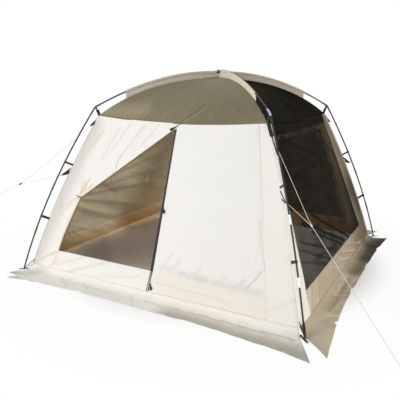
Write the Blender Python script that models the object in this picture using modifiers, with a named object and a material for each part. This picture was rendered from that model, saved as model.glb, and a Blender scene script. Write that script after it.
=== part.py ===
"""Screen tent: a square dome shelter on two crossing poles, in metres, +Z up.

The origin is the middle of the ground square and the front wall faces -Y.
Walls and roof are built facing the front and turned to their side. What
stands at a corner is built in the plane y = 0, with x as the distance from
the middle, and turned to its corner.
"""

import math

import bmesh
import bpy
from mathutils import Matrix, Vector

# Fabric body and pole frame: distances from the middle are measured along a diagonal
BASE_RADIUS = 2.111
EAVE_RADIUS = 1.325
EAVE_HEIGHT = 1.630
ROOF_HEIGHT = 2.021
FOOT_CLEARANCE = 0.084
ELBOW_CLEARANCE = 0.044
ELBOW_RISE = 0.082
APEX_CLEARANCE = 0.068
FOOT_RADIUS = BASE_RADIUS + FOOT_CLEARANCE
ELBOW_RADIUS = EAVE_RADIUS + ELBOW_CLEARANCE
ELBOW_HEIGHT = EAVE_HEIGHT + ELBOW_RISE
APEX_HEIGHT = ROOF_HEIGHT + APEX_CLEARANCE

# Poles
LEG_BOW = 0.0715
POLE_RADIUS = 0.0080
CROSSING_REACH = 0.25
FERRULE_RADIUS = 0.0100
FERRULE_LENGTH = 0.070
SOCKET_CLEARANCE = 0.0006
LOWER_FERRULE_HEIGHT = 0.424
UPPER_FERRULE_HEIGHT = 0.887
ELBOW_BEND = 0.060
ELBOW_SOCKET = 0.050

# Feet: a webbing strap on the ground with an upright pin and a peg ring
STRAP_THICKNESS = 0.002
STRAP_WIDTH = 0.025
STRAP_REACH = 0.050
PIN_RADIUS = 0.004
PIN_LENGTH = 0.050
PEG_RING_RADIUS = 0.012
PEG_RING_WIRE = 0.002

# Walls and roof
EDGE_BOW = 0.050
EAVE_SAG = 0.045
ROOF_SHOULDER = 0.24
ROOF_HOLLOW = 0.050
ROOF_TIP = 0.070
WALL_BULGE = 0.0173
WALL_BASE = BASE_RADIUS / math.sqrt(2) + WALL_BULGE
BASE_SEAM_HEIGHT = 0.050
SILL_HEIGHT = 0.237
HEADER_DEPTH = 0.106
HEADER_HEIGHT = EAVE_HEIGHT - HEADER_DEPTH
WING_WIDTH_BASE = 0.300
WING_WIDTH_EAVE = 0.0855
SEAM_HALF_BASE = WALL_BASE - WING_WIDTH_BASE
SEAM_HALF_EAVE = EAVE_RADIUS / math.sqrt(2) - WING_WIDTH_EAVE
WING_FLAT = 0.025
CLOTH = 0.0012
NETTING = 0.0010
SEAM_GAP = 0.0010
ROOF_SEAM_GAP = 0.0014

# Doors and flaps
ZIP_X = 0.030
FLAP_LAP = 0.012
FLAP_BOTTOM = 0.062
FOLD_GAP = 0.0006
FOLD_TRIM = 0.012
CUT_CORNER = 0.020
TIE_HEIGHT = 0.796
TIE_X = -0.985
ROLL_RADIUS = 0.021
ROLL_TAIL_RADIUS = 0.010
ROLL_TURN = math.radians(320)
CREASE = 0.006
STOWED_ROLL_RADIUS = 0.030
STOWED_ROLL_TURNS = 2.25
STOWED_ROLL_HALF = 0.840

# Ground skirts: growth is along the wall and reach is out from it, at the long and at the short end
SKIRT_SLOPE_REACH = 0.140
FRONT_SKIRT_REACH = 0.250
FRONT_SKIRT_END_GROWTH = 0.206
FRONT_SKIRT_END_REACH = 0.125
FRONT_SKIRT_SHORT_END_GROWTH = 0.090
FRONT_SKIRT_SHORT_END_REACH = 0.085
SIDE_SKIRT_REACH = 0.182
SIDE_SKIRT_END_GROWTH = 0.262
SIDE_SKIRT_END_REACH = 0.108
SIDE_SKIRT_SHORT_END_GROWTH = 0.073
SIDE_SKIRT_SHORT_END_REACH = 0.064
LEFT_SKIRT_SHORT_END_GROWTH = 0.020
LEFT_SKIRT_SHORT_END_REACH = -0.100
SKIRT_END_HOLLOW = 0.020
SKIRT_WALL_GAP = 0.0012
SKIRT_CORNER_GAP = 0.004
SKIRT_FOLD = 0.012
SKIRT_FOLDS = 9

# Pole sleeves
SLEEVE_END_RADIUS = 1.045
SLEEVE_START_RADIUS = 0.110
SLEEVE_CLOTH = 0.0010
SLEEVE_EASE = 0.0035
SLEEVE_SEAT = 0.0012

# Corner webbing, clips and guy tabs
WEBBING = 0.002
BINDING_DEPTH = 0.012
CLIP_HEIGHTS = (0.575, 1.144)
CLIP_WIDTH = 0.016
CLIP_WIRE = 0.0022
RING_CLEARANCE = 0.0008
ELBOW_RING_POINT = -4
TAB_TOPS = (1.607, 1.088)
TAB_DEPTH = 0.075
TAB_TIP_REACHES = (0.035, 0.082)
TAB_TIP_DROPS = (0.100, 0.085)
TAB_TIP_WIDTH = 0.016

# Guy lines
CORD_RADIUS = 0.002
CORD_BEND = 0.009
PASSING_REACH = (0.080, 0.016)
JUNCTION_RADIUS = 2.150
JUNCTION_HEIGHT = 0.950
RUNNER_LENGTH = 0.034
RUNNER_RADIUS = 0.008
GUY_SLOPE = -0.49
LEFT_GUY_END = 2.450
RIGHT_GUY_END = 3.340

# Zip sliders and toggle
SLIDER_HEIGHTS = (0.798, 0.112)
SLIDER_WIDTH = 0.012
SLIDER_LENGTH = 0.022
SLIDER_DEPTH = 0.006
PULL_WIDTH = 0.016
PULL_LENGTH = 0.036
TOGGLE_LENGTH = 0.046
TOGGLE_RADIUS = 0.005

GAP = 0.0003
PATCH_RADIUS = 0.100
PATCH_LOOP_WIRE = 0.003

SIDES = ("front", "right", "back", "left")
CORNER_TURNS = {"front_left": -135, "front_right": -45, "back_right": 45, "back_left": 135}


def blend(start, end, share):
    return start + (end - start) * share


def bowed(start, end, bow, share):
    """A value between two ends, pushed out most in the middle."""
    return blend(start, end, share) + 4 * bow * share * (1 - share)


def leg_radius(height):
    return bowed(FOOT_RADIUS, ELBOW_RADIUS, LEG_BOW, height / ELBOW_HEIGHT)


def pole_height(radius):
    return APEX_HEIGHT - (APEX_HEIGHT - ELBOW_HEIGHT) * (radius / ELBOW_RADIUS) ** 2


def edge_radius(height):
    """How far the corner edge of the walls is from the middle."""
    return bowed(BASE_RADIUS, EAVE_RADIUS, EDGE_BOW, height / EAVE_HEIGHT)


def roof_height(radius):
    """Height of the roof cloth under a pole."""
    share = radius / EAVE_RADIUS
    drop = (1 - ROOF_SHOULDER) * share**2 + ROOF_SHOULDER * share**4
    return ROOF_HEIGHT - (ROOF_HEIGHT - EAVE_HEIGHT) * drop


def corner_half(height):
    return edge_radius(height) / math.sqrt(2)


def wall_half(height):
    """Distance of the wall's flat middle from the tent's middle."""
    return blend(WALL_BASE, corner_half(EAVE_HEIGHT), height / EAVE_HEIGHT)


def seam_half(height):
    return blend(SEAM_HALF_BASE, SEAM_HALF_EAVE, height / EAVE_HEIGHT)


def eave_height(x):
    share = min(abs(x) / corner_half(EAVE_HEIGHT), 1)
    return EAVE_HEIGHT - EAVE_SAG * (1 - share**2)


LEAN = math.atan2(WALL_BASE - corner_half(EAVE_HEIGHT), EAVE_HEIGHT)
OUTWARD = Vector((0, -math.cos(LEAN), math.sin(LEAN)))


def slope_length(height):
    return height / math.cos(LEAN)


def clear_scene():
    for thing in list(bpy.data.objects):
        bpy.data.objects.remove(thing, do_unlink=True)


def make_collection(name):
    made = bpy.data.collections.new(name)
    bpy.context.scene.collection.children.link(made)
    return made


def make_material(name, colour, roughness, metallic=0.0):
    material = bpy.data.materials.new(name)
    material.use_nodes = True
    shader = material.node_tree.nodes["Principled BSDF"]
    shader.inputs["Base Color"].default_value = (*colour, 1)
    shader.inputs["Roughness"].default_value = roughness
    shader.inputs["Metallic"].default_value = metallic
    return material


def add_object(name, data, material, collection):
    made = bpy.data.objects.new(name, data)
    if not data.materials:
        data.materials.append(material)
    collection.objects.link(made)
    return made


def mesh_object(name, mesh_source, material, collection, smooth=True):
    """An object from a bmesh, which is freed."""
    bmesh.ops.recalc_face_normals(mesh_source, faces=mesh_source.faces)
    mesh = bpy.data.meshes.new(name)
    mesh_source.to_mesh(mesh)
    mesh_source.free()
    made = add_object(name, mesh, material, collection)
    if smooth:
        mesh.shade_smooth()
        mesh.set_sharp_from_angle(angle=math.radians(40))
    return made


def cloth_sheet(name, columns, rows, place, thickness, material, collection, keep=None):
    """A grid whose points place(column, row) puts, given thickness by Solidify."""
    grid = bmesh.new()
    bmesh.ops.create_grid(grid, x_segments=columns, y_segments=rows, size=1)
    for index, vert in enumerate(grid.verts):
        vert.co = place(index % (columns + 1), index // (columns + 1))
    if keep is not None:
        faces = enumerate(grid.faces)
        opening = [face for index, face in faces if not keep(index % columns, index // columns)]
        bmesh.ops.delete(grid, geom=opening, context="FACES")
    made = mesh_object(name, grid, material, collection)
    shell = made.modifiers.new("thickness", "SOLIDIFY")
    shell.thickness = thickness
    shell.offset = 0
    shell.use_even_offset = True
    return made


def tube_mesh(name, points, radii, material, collection, resolution=2):
    """A round bar along the points, as a mesh with closed ends."""
    curve = bpy.data.curves.new(name, "CURVE")
    curve.dimensions = "3D"
    curve.bevel_depth = 1
    curve.bevel_resolution = resolution
    curve.use_fill_caps = True
    spline = curve.splines.new("POLY")
    spline.points.add(len(points) - 1)
    for target, point, radius in zip(spline.points, points, radii):
        target.co = (*point, 1)
        target.radius = radius
    guide = bpy.data.objects.new(name + "_guide", curve)
    collection.objects.link(guide)
    graph = bpy.context.evaluated_depsgraph_get()
    mesh = bpy.data.meshes.new_from_object(guide.evaluated_get(graph))
    welded = bmesh.new()
    welded.from_mesh(mesh)
    bmesh.ops.remove_doubles(welded, verts=welded.verts, dist=0.00001)
    bmesh.ops.recalc_face_normals(welded, faces=welded.faces)
    welded.to_mesh(mesh)
    welded.free()
    mesh.name = name
    made = add_object(name, mesh, material, collection)
    made.matrix_world = guide.matrix_world
    bpy.data.objects.remove(guide, do_unlink=True)
    mesh.shade_smooth()
    mesh.set_sharp_from_angle(angle=math.radians(40))
    return made


def flat_outline(name, outline, thickness, material, collection):
    """A flat plate in the XY plane with the given corners."""
    curve = bpy.data.curves.new(name, "CURVE")
    curve.dimensions = "2D"
    curve.fill_mode = "BOTH"
    curve.extrude = thickness / 2
    spline = curve.splines.new("POLY")
    spline.points.add(len(outline) - 1)
    for target, (x, y) in zip(spline.points, outline):
        target.co = (x, y, 0, 1)
    spline.use_cyclic_u = True
    guide = bpy.data.objects.new(name + "_guide", curve)
    collection.objects.link(guide)
    graph = bpy.context.evaluated_depsgraph_get()
    mesh = bpy.data.meshes.new_from_object(guide.evaluated_get(graph))
    welded = bmesh.new()
    welded.from_mesh(mesh)
    bmesh.ops.remove_doubles(welded, verts=welded.verts, dist=0.00001)
    bmesh.ops.recalc_face_normals(welded, faces=welded.faces)
    welded.to_mesh(mesh)
    welded.free()
    mesh.name = name
    bpy.data.objects.remove(guide, do_unlink=True)
    return add_object(name, mesh, material, collection)


def combine(target, operation, others):
    """Cuts the others from the target, or joins them to it, and applies it."""
    for index, other in enumerate(others):
        modifier = target.modifiers.new(f"{operation.lower()}_{index}", "BOOLEAN")
        modifier.operation = operation
        modifier.object = other
        modifier.solver = "EXACT"
    bpy.context.view_layer.update()
    graph = bpy.context.evaluated_depsgraph_get()
    mesh = bpy.data.meshes.new_from_object(target.evaluated_get(graph))
    target.modifiers.clear()
    target.data = mesh
    for other in others:
        bpy.data.objects.remove(other, do_unlink=True)
    mesh.shade_smooth()
    mesh.set_sharp_from_angle(angle=math.radians(40))
    return target


def turn_to_corner(made, corner):
    made.rotation_euler = (0, 0, math.radians(CORNER_TURNS[corner]))
    return made


def turn_to_side(made, side):
    made.rotation_euler = (0, 0, math.radians(90 * SIDES.index(side)))
    return made


def wall_matrix(side, out):
    """Takes a plate drawn in the XY plane, y up the slope, onto the wall."""
    turn = Matrix.Rotation(math.radians(90 * SIDES.index(side)), 4, "Z")
    stand = Matrix.Rotation(math.pi / 2 - LEAN, 4, "X")
    base = Vector((0, -WALL_BASE, 0)) + OUTWARD * out
    return turn @ Matrix.Translation(base) @ stand


def wall_sheet(name, side, outline, thickness, out, material, collection):
    """A flat sheet on a wall; its corners are (x, height) pairs."""
    drawn = [(x, slope_length(height)) for x, height in outline]
    made = flat_outline(name, drawn, thickness, material, collection)
    made.matrix_world = wall_matrix(side, out)
    return made


def filleted(points, corner, bend, steps=6):
    """The points, with the corner at that index rounded to a bend radius."""
    before, at, after = points[corner - 1], points[corner], points[corner + 1]
    into = (at - before).normalized()
    out = (after - at).normalized()
    half = into.angle(out) / 2
    reach = bend * math.tan(half)
    first = at - into * reach
    centre_way = (out - into).normalized()
    centre = at + centre_way * (bend / math.cos(half))
    axis = into.cross(out).normalized()
    spokes = [Matrix.Rotation(2 * half * i / steps, 3, axis) @ (first - centre) for i in range(steps + 1)]
    return points[:corner] + [centre + spoke for spoke in spokes] + points[corner + 1 :]


def leg_points(low, high, count):
    heights = [blend(low, high, i / count) for i in range(count + 1)]
    return [Vector((leg_radius(height), 0, height)) for height in heights]


def ferrule_span(height):
    return height - FERRULE_LENGTH / 2, height + FERRULE_LENGTH / 2


def leg_with_socket(name, low, joint, steel, pole, collection):
    """A leg section with its steel ferrule at the top, open for the next section."""
    start, end = ferrule_span(joint)
    step = 0.001
    shaft = leg_points(low, start, 5)
    socket = leg_points(start + step, end, 2)
    points = shaft + socket
    radii = [POLE_RADIUS] * len(shaft) + [FERRULE_RADIUS] * len(socket)
    bar = tube_mesh(name, points, radii, pole, collection, 3)
    bore_points = leg_points(joint, end + step, 2)
    bore_radii = [POLE_RADIUS + SOCKET_CLEARANCE] * len(bore_points)
    bore = tube_mesh(name + "_bore", bore_points, bore_radii, pole, collection, 3)
    combine(bar, "DIFFERENCE", [bore])
    paint_steel(bar, steel, lambda centre: centre.z > start)
    return bar


def paint_steel(bar, steel, is_steel):
    bar.data.materials.append(steel)
    slot = len(bar.data.materials) - 1
    for face in bar.data.polygons:
        if is_steel(face.center):
            face.material_index = slot


def lower_leg(corner, mats, collection):
    bar = leg_with_socket(
        f"leg_lower_{corner}", foot_seat(), LOWER_FERRULE_HEIGHT, mats["steel"], mats["pole"], collection
    )
    along = leg_way(0)
    start = Vector((leg_radius(foot_seat()), 0, foot_seat())) - along * 0.002
    hole_points = [start, start + along * (PIN_LENGTH + 0.004)]
    hole = tube_mesh("pin_hole", hole_points, [PIN_RADIUS + GAP] * 2, mats["pole"], collection, 3)
    combine(bar, "DIFFERENCE", [hole])
    return turn_to_corner(bar, corner)


def foot_seat():
    """Height of the lowest point of the leg, clear of the strap."""
    return STRAP_THICKNESS + GAP + POLE_RADIUS * math.sin(leg_tilt_at_foot())


def leg_tilt_at_foot():
    return Vector((0, 0, 1)).angle(leg_way(0))


def middle_leg(corner, mats, collection):
    low = LOWER_FERRULE_HEIGHT + GAP
    bar = leg_with_socket(
        f"leg_middle_{corner}", low, UPPER_FERRULE_HEIGHT, mats["steel"], mats["pole"], collection
    )
    return turn_to_corner(bar, corner)


def elbow_route():
    """Leg top, rounded elbow and the first of the roof arch."""
    leg = leg_points(UPPER_FERRULE_HEIGHT + GAP, ELBOW_HEIGHT, 8)
    inner = ELBOW_RADIUS - 2 * ELBOW_SOCKET
    roof = Vector((inner, 0, pole_height(inner)))
    return filleted([*leg, roof], len(leg) - 1, ELBOW_BEND)


def upper_leg(corner, mats, collection):
    """The top leg section, which carries the bent steel elbow."""
    route = elbow_route()[:-1]
    socket_end = route[-1] + (elbow_route()[-1] - route[-1]).normalized() * ELBOW_SOCKET
    collar = ELBOW_HEIGHT - ELBOW_SOCKET - ELBOW_BEND / 2
    points = [point for point in route if point.z < collar]
    shaft_count = len(points) + 1
    base = Vector((leg_radius(collar), 0, collar))
    lip = Vector((leg_radius(collar + 0.001), 0, collar + 0.001))
    bend = [point for point in route if point.z > collar + 0.005]
    points = [*points, base, lip, *bend, socket_end]
    radii = [POLE_RADIUS] * shaft_count + [FERRULE_RADIUS] * (len(points) - shaft_count)
    bar = tube_mesh(f"leg_upper_{corner}", points, radii, mats["pole"], collection, 3)
    past_end = socket_end + (socket_end - route[-1]).normalized() * 0.002
    bore_radius = POLE_RADIUS + SOCKET_CLEARANCE
    bore = tube_mesh("elbow_bore", [route[-1], past_end], [bore_radius] * 2, mats["pole"], collection, 3)
    combine(bar, "DIFFERENCE", [bore])
    paint_steel(bar, mats["steel"], lambda centre: centre.z > collar or centre.x < base.x)
    return turn_to_corner(bar, corner)


def roof_pole(name, turn, lift, mats, collection):
    """One arch from elbow to elbow, lifted or lowered where the two cross."""
    route = elbow_route()
    start = route[-2]
    way = (route[-1] - start).normalized()
    seat = start + way * GAP
    mouth = start + way * (ELBOW_SOCKET + 0.006)
    half_count = 14
    arch = []
    for i in range(half_count + 1):
        radius = mouth.x * (1 - (i / half_count))
        rise = lift * math.exp(-((radius / CROSSING_REACH) ** 2))
        blend_in = blend(mouth.z - pole_height(mouth.x), 0, min(1, 4 * i / half_count))
        arch.append(Vector((radius, 0, pole_height(radius) + rise + blend_in)))
    half = [seat, *arch]
    mirrored = [Vector((-point.x, 0, point.z)) for point in reversed(half[:-1])]
    points = half + mirrored
    made = tube_mesh(name, points, [POLE_RADIUS] * len(points), mats["pole"], collection, 2)
    made.rotation_euler = (0, 0, math.radians(turn))
    return made


def foot(corner, mats, collection):
    """Ground strap from the fabric corner outward, with the leg's pin and the peg ring."""
    start = edge_radius(0)
    end = FOOT_RADIUS + STRAP_REACH
    name = f"foot_strap_{corner}"
    width = STRAP_WIDTH / 2
    outline = ((start, -width), (end, -width), (end, width), (start, width))
    strap = flat_outline(name, outline, STRAP_THICKNESS, mats["webbing"], collection)
    strap.location.z = STRAP_THICKNESS / 2
    bpy.context.view_layer.update()
    along = leg_way(0)
    base = Vector((leg_radius(foot_seat()), 0, foot_seat())) - along * foot_seat()
    pin_ends = [base + along * 0.001, base + along * (PIN_LENGTH + foot_seat())]
    pin = tube_mesh("pin", pin_ends, [PIN_RADIUS] * 2, mats["webbing"], collection, 3)
    bpy.ops.mesh.primitive_torus_add(
        major_segments=14,
        minor_segments=5,
        major_radius=PEG_RING_RADIUS,
        minor_radius=PEG_RING_WIRE,
        location=(end + PEG_RING_RADIUS * 0.8, 0, PEG_RING_WIRE),
    )
    ring = bpy.context.object
    combine(strap, "UNION", [pin, ring])
    trim_below_ground(strap)
    return turn_to_corner(strap, corner)


def trim_below_ground(made):
    """Moves the lowest points of a body resting on the ground onto it."""
    lift = -made.location.z
    for vert in made.data.vertices:
        vert.co.z = max(vert.co.z, lift)


def roof_panel(side, mats, collection):
    """One quarter of the roof, between two pole sleeves and the eave."""
    columns, rows = 10, 10

    def place(i, j):
        across = blend(-1, 1, i / columns)
        down = blend(ROOF_TIP / EAVE_RADIUS, 1, j / rows)
        radius = down * EAVE_RADIUS
        half = radius / math.sqrt(2)
        trim = (half - ROOF_SEAM_GAP) / half
        hollow = (EAVE_SAG * down**2 + ROOF_HOLLOW * down * (1 - down)) * (1 - across**2)
        edge = SEAM_GAP if j == rows else 0
        return Vector((across * (half * trim - edge), -half + edge, roof_height(radius) - hollow))

    made = cloth_sheet(f"roof_panel_{side}", columns, rows, place, CLOTH, mats["olive"], collection)
    return turn_to_side(made, side)


def wall_panel(side, mats, collection):
    """Two corner wings, sill and header, sewn as one frame round the wall's opening."""
    wing, middle = 3, 8
    low, mid, high = 2, 7, 1
    columns, rows = 2 * wing + middle, low + mid + high

    def height_at(j):
        if j <= low:
            return blend(BASE_SEAM_HEIGHT, SILL_HEIGHT, j / low)
        return blend(SILL_HEIGHT, HEADER_HEIGHT, (j - low) / mid)

    def place(i, j):
        height = height_at(min(j, low + mid))
        if j == rows:
            height = EAVE_HEIGHT
        bulge = 0.0
        corner = corner_half(height) - SEAM_GAP
        seam = seam_half(height)
        from_edge = min(i, columns - i)
        sign = 1 if i > columns / 2 else -1
        if from_edge < wing:
            share = 1 - from_edge / (wing - 1)
            x = sign * blend(seam + WING_FLAT, corner, share)
            bulge = share**2
        else:
            x = blend(-seam, seam, (i - wing) / middle)
        if j == rows:
            height = eave_height(x) - GAP
        y = blend(wall_half(height), corner_half(height), bulge)
        return Vector((x, -y, height))

    def keep(i, j):
        return not (wing <= i < wing + middle and low <= j < low + mid)

    made = cloth_sheet(f"wall_{side}", columns, rows, place, CLOTH, mats["cream"], collection, keep)
    return turn_to_side(made, side)


def skirt(side, mats, collection):
    """The strip that slopes from the wall's base seam to the ground and lies on it; one end is longer."""
    columns, rows = 30, 5
    mirrored = side in ("right", "left")
    reach = SIDE_SKIRT_REACH if mirrored else FRONT_SKIRT_REACH
    long_end = (FRONT_SKIRT_END_GROWTH, FRONT_SKIRT_END_REACH)
    short_end = (FRONT_SKIRT_SHORT_END_GROWTH, FRONT_SKIRT_SHORT_END_REACH)
    if mirrored:
        long_end = (SIDE_SKIRT_END_GROWTH, SIDE_SKIRT_END_REACH)
        short_end = (SIDE_SKIRT_SHORT_END_GROWTH, SIDE_SKIRT_SHORT_END_REACH)
    if side == "left":
        short_end = (LEFT_SKIRT_SHORT_END_GROWTH, LEFT_SKIRT_SHORT_END_REACH)
    start_half = corner_half(BASE_SEAM_HEIGHT) - SKIRT_CORNER_GAP
    rest = CLOTH / 2

    def place(i, j):
        across = blend(-1, 1, i / columns)
        out_share = j / rows
        end_growth, end_reach = long_end if across > 0 else short_end
        out = (reach + end_reach * across**4) * out_share
        hollow = SKIRT_END_HOLLOW * 4 * out_share * (1 - out_share)
        x = across * (start_half + (end_growth * out_share - hollow) * abs(across) ** 5)
        start_y = blend(wall_half(BASE_SEAM_HEIGHT), corner_half(BASE_SEAM_HEIGHT), across**8)
        slope = max(0.0, 1 - out / SKIRT_SLOPE_REACH)
        ripple = 0.5 - 0.5 * math.cos(SKIRT_FOLDS * math.pi * (across + 0.12 * math.sin(5 * across)))
        fold = SKIRT_FOLD * ripple * out_share * (1.4 - out_share)
        height = rest + slope**1.5 * (BASE_SEAM_HEIGHT - CLOTH - rest) + fold
        return Vector((-x if mirrored else x, -(start_y + SKIRT_WALL_GAP + out), height))

    made = cloth_sheet(f"skirt_{side}", columns, rows, place, CLOTH, mats["skirt"], collection)
    return turn_to_side(made, side)


def netting(name, side, outline, mats, collection):
    return wall_sheet(name, side, outline, NETTING, 0.0, mats["netting"], collection)


def opening_outline(left=None, right=None):
    """The wall's opening, less a seam gap; left and right are upright edges, where given."""
    low = SILL_HEIGHT + SEAM_GAP
    high = HEADER_HEIGHT - SEAM_GAP
    edge = SEAM_GAP

    def side_x(height, sign, given):
        return sign * (seam_half(height) - edge) if given is None else given

    return (
        (side_x(low, -1, left), low),
        (side_x(low, 1, right), low),
        (side_x(high, 1, right), high),
        (side_x(high, -1, left), high),
    )


def front_nets(mats, collection):
    """Net doors either side of the zip; the left one's free corner folds on a slant."""
    netting("front_net_right", "front", opening_outline(left=ZIP_X + SEAM_GAP), mats, collection)
    bottom_left, bottom_right, top_right, top_left = opening_outline(right=ZIP_X - SEAM_GAP)
    free, sewn = fold_lines(bottom_left, top_right)
    netting("front_net_left_sewn", "front", (*sewn, top_left), mats, collection)
    netting("front_net_left_free", "front", (free[0], bottom_right, free[1]), mats, collection)


def fold_lines(start, end):
    """A slanting fold from start to end: its edges on the free side, to the right, and the sewn side."""
    along = Vector((end[0] - start[0], slope_length(end[1] - start[1])))
    shift = Vector((along.y, -along.x)).normalized() * FOLD_GAP / 2

    def edge(way):
        found = []
        for share in (FOLD_TRIM, 1 - FOLD_TRIM):
            x = blend(start[0], end[0], share) + way * shift.x
            height = blend(start[1], end[1], share) + way * shift.y * math.cos(LEAN)
            found.append((x, height))
        return found

    return edge(1), edge(-1)


def flap_offset():
    """How far the closed flaps lie outside the wall panel."""
    return CLOTH + GAP


def front_right_flap(mats, collection):
    """The closed half of the front door: a sewn upper corner and a free lower one."""
    high = HEADER_HEIGHT + FLAP_LAP
    low = FLAP_BOTTOM
    inner_low, inner_high = (ZIP_X, low), (ZIP_X, high)
    outer_low = (seam_half(low) + FLAP_LAP, low)
    outer_high = (seam_half(high) + FLAP_LAP, high)
    free, sewn = fold_lines(inner_high, outer_low)
    sewn_outline = (*sewn, (outer_low[0], low + CUT_CORNER), outer_high, (ZIP_X + CUT_CORNER, high))
    free_outline = (free[0], (ZIP_X, high - CUT_CORNER), inner_low, (outer_low[0] - CUT_CORNER, low), free[1])
    out = flap_offset()
    wall_sheet("front_flap_right_sewn", "front", sewn_outline, CLOTH, out, mats["cream"], collection)
    wall_sheet("front_flap_right_free", "front", free_outline, CLOTH, out, mats["cream"], collection)


def free_edge_x(height):
    """Where the tied-back flap ends: a steep edge up to the tie, then a slant to the zip."""
    start = -seam_half(SILL_HEIGHT)
    if height < TIE_HEIGHT:
        return blend(start, TIE_X, (height - SILL_HEIGHT) / (TIE_HEIGHT - SILL_HEIGHT))
    return blend(TIE_X, ZIP_X - 0.03, (height - TIE_HEIGHT) / (HEADER_HEIGHT - TIE_HEIGHT))


def roll_radius(share):
    """Radius of the rolled edge, from its thin tail at the sill up to the zip's top."""
    fade = min(1, 6 * (1 - share)) * min(1, 0.3 + share * 3)
    return blend(ROLL_TAIL_RADIUS, ROLL_RADIUS, min(1, share * 2.2)) * max(fade, 0.35)


def tied_back_flap(mats, collection):
    """The open half of the front door: sewn along the eave and wing, its edge rolled outward."""
    flat, curl, rows = 6, 16, 16
    low = SILL_HEIGHT + 0.005
    high = HEADER_HEIGHT - 0.002

    def edge_point(height):
        return Vector((free_edge_x(height), slope_length(height), 0))

    def curl_way(height):
        step = 0.06
        ahead = edge_point(min(height + step, high)) - edge_point(max(height - step, low))
        return Vector((ahead.y, -ahead.x, 0)).normalized()

    def place(i, j):
        height = blend(low, high, j / rows)
        share = (height - low) / (high - low)
        outer = Vector((-seam_half(height) - FLAP_LAP, slope_length(height), 0))
        inner = edge_point(height)
        if i <= flat:
            point = outer.lerp(inner, i / flat)
            wave = math.sin(9 * share + 5 * i / flat) * math.sin(math.pi * i / flat)
            point.z = CREASE * (1 + wave) * math.sin(math.pi * min(1, i / flat)) / 2
            return point
        radius = roll_radius(share)
        angle = ROLL_TURN * (i - flat) / curl
        lift = Vector((0, 0, radius * (1 - math.cos(angle))))
        return inner + curl_way(height) * radius * math.sin(angle) + lift

    made = cloth_sheet("front_flap_left_tied", flat + curl, rows, place, CLOTH, mats["cream"], collection)
    made.matrix_world = wall_matrix("front", flap_offset())
    return made


def closed_flap(side, mats, collection):
    """The outer cover of a side opening, hung from the header."""
    low, high = FLAP_BOTTOM, HEADER_HEIGHT + FLAP_LAP
    outline = (
        (-seam_half(low) - FLAP_LAP, low),
        (seam_half(low) + FLAP_LAP, low),
        (seam_half(high) + FLAP_LAP, high),
        (-seam_half(high) - FLAP_LAP, high),
    )
    wall_sheet(f"{side}_flap", side, outline, CLOTH, flap_offset(), mats["cream"], collection)


def stowed_flap(mats, collection):
    """The right cover rolled up inside, under the header."""
    around, along = 27, 4

    def place(i, j):
        angle = 2 * math.pi * STOWED_ROLL_TURNS * i / around
        radius = blend(0.35, 1, i / around) * STOWED_ROLL_RADIUS
        x = blend(-STOWED_ROLL_HALF, STOWED_ROLL_HALF, j / along)
        sag = 0.010 * (1 - (x / STOWED_ROLL_HALF) ** 2)
        return Vector((x, radius * math.cos(angle) - sag, radius * math.sin(angle)))

    made = cloth_sheet("right_flap_rolled", around, along, place, CLOTH, mats["cream"], collection)
    centre = slope_length(HEADER_HEIGHT) - STOWED_ROLL_RADIUS - 0.004
    inside = -(STOWED_ROLL_RADIUS + CLOTH + GAP)
    made.matrix_world = wall_matrix("right", 0) @ Matrix.Translation((0, centre, inside))
    return made


def pole_sleeve(corner, mats, collection):
    """Cloth folded over the roof pole, its two layers meeting in a web on the roof."""
    ring_steps, stations = 8, 9
    ring = POLE_RADIUS + SLEEVE_EASE + SLEEVE_CLOTH / 2
    half_layer = SLEEVE_CLOTH / 2 + GAP
    neck = math.asin(half_layer / ring)

    def section(radius):
        base = roof_height(radius) + CLOTH / 2 + SLEEVE_SEAT
        centre = pole_height(radius)
        lift_share = math.exp(-((radius / CROSSING_REACH) ** 2))
        sign = 1 if corner in ("front_right", "back_left") else -1
        centre += sign * (POLE_RADIUS + GAP) * lift_share
        low_ring = centre - ring * math.cos(neck)
        points = [(-half_layer, base), (-half_layer, blend(base, low_ring, 0.5))]
        for k in range(ring_steps + 1):
            angle = neck + (2 * math.pi - 2 * neck) * k / ring_steps
            points.append((-ring * math.sin(angle), centre - ring * math.cos(angle)))
        points += [(half_layer, blend(base, low_ring, 0.5)), (half_layer, base)]
        return points

    def place(i, j):
        radius = blend(SLEEVE_START_RADIUS, SLEEVE_END_RADIUS, j / stations)
        across, height = section(radius)[i]
        return Vector((radius, across, height))

    count = len(section(SLEEVE_END_RADIUS)) - 1
    name = f"pole_sleeve_{corner}"
    made = cloth_sheet(name, count, stations, place, SLEEVE_CLOTH, mats["sleeve"], collection)
    return turn_to_corner(made, corner)


def corner_webbing(corner, mats, collection):
    """Binding along the corner edge, with its two pole clips, two guy tabs and the elbow strap."""
    seat = 2 * GAP
    bottom, top = BASE_SEAM_HEIGHT + 0.01, EAVE_HEIGHT - 0.004
    inner = [(edge_radius(h) + seat, h) for h in spaced(bottom, top, 12)]
    features = [clip_arm(height) for height in CLIP_HEIGHTS]
    features += [guy_tab(tab_top, tip) for tab_top, tip in zip(TAB_TOPS, tab_tips())]
    outer = outer_edge(features, bottom, top)
    elbow_arm = elbow_strap_outline(top)
    outline = inner + elbow_arm + outer[::-1]
    made = flat_outline(f"corner_webbing_{corner}", outline, WEBBING, mats["webbing"], collection)
    made.rotation_euler = (math.pi / 2, 0, 0)
    bpy.context.view_layer.update()
    rings = [clip_ring(height, collection) for height in CLIP_HEIGHTS] + [elbow_ring(collection)]
    combine(made, "UNION", rings)
    made.rotation_euler = (math.pi / 2, 0, math.radians(CORNER_TURNS[corner]))
    return made


def spaced(low, high, count):
    return [blend(low, high, i / count) for i in range(count + 1)]


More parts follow.
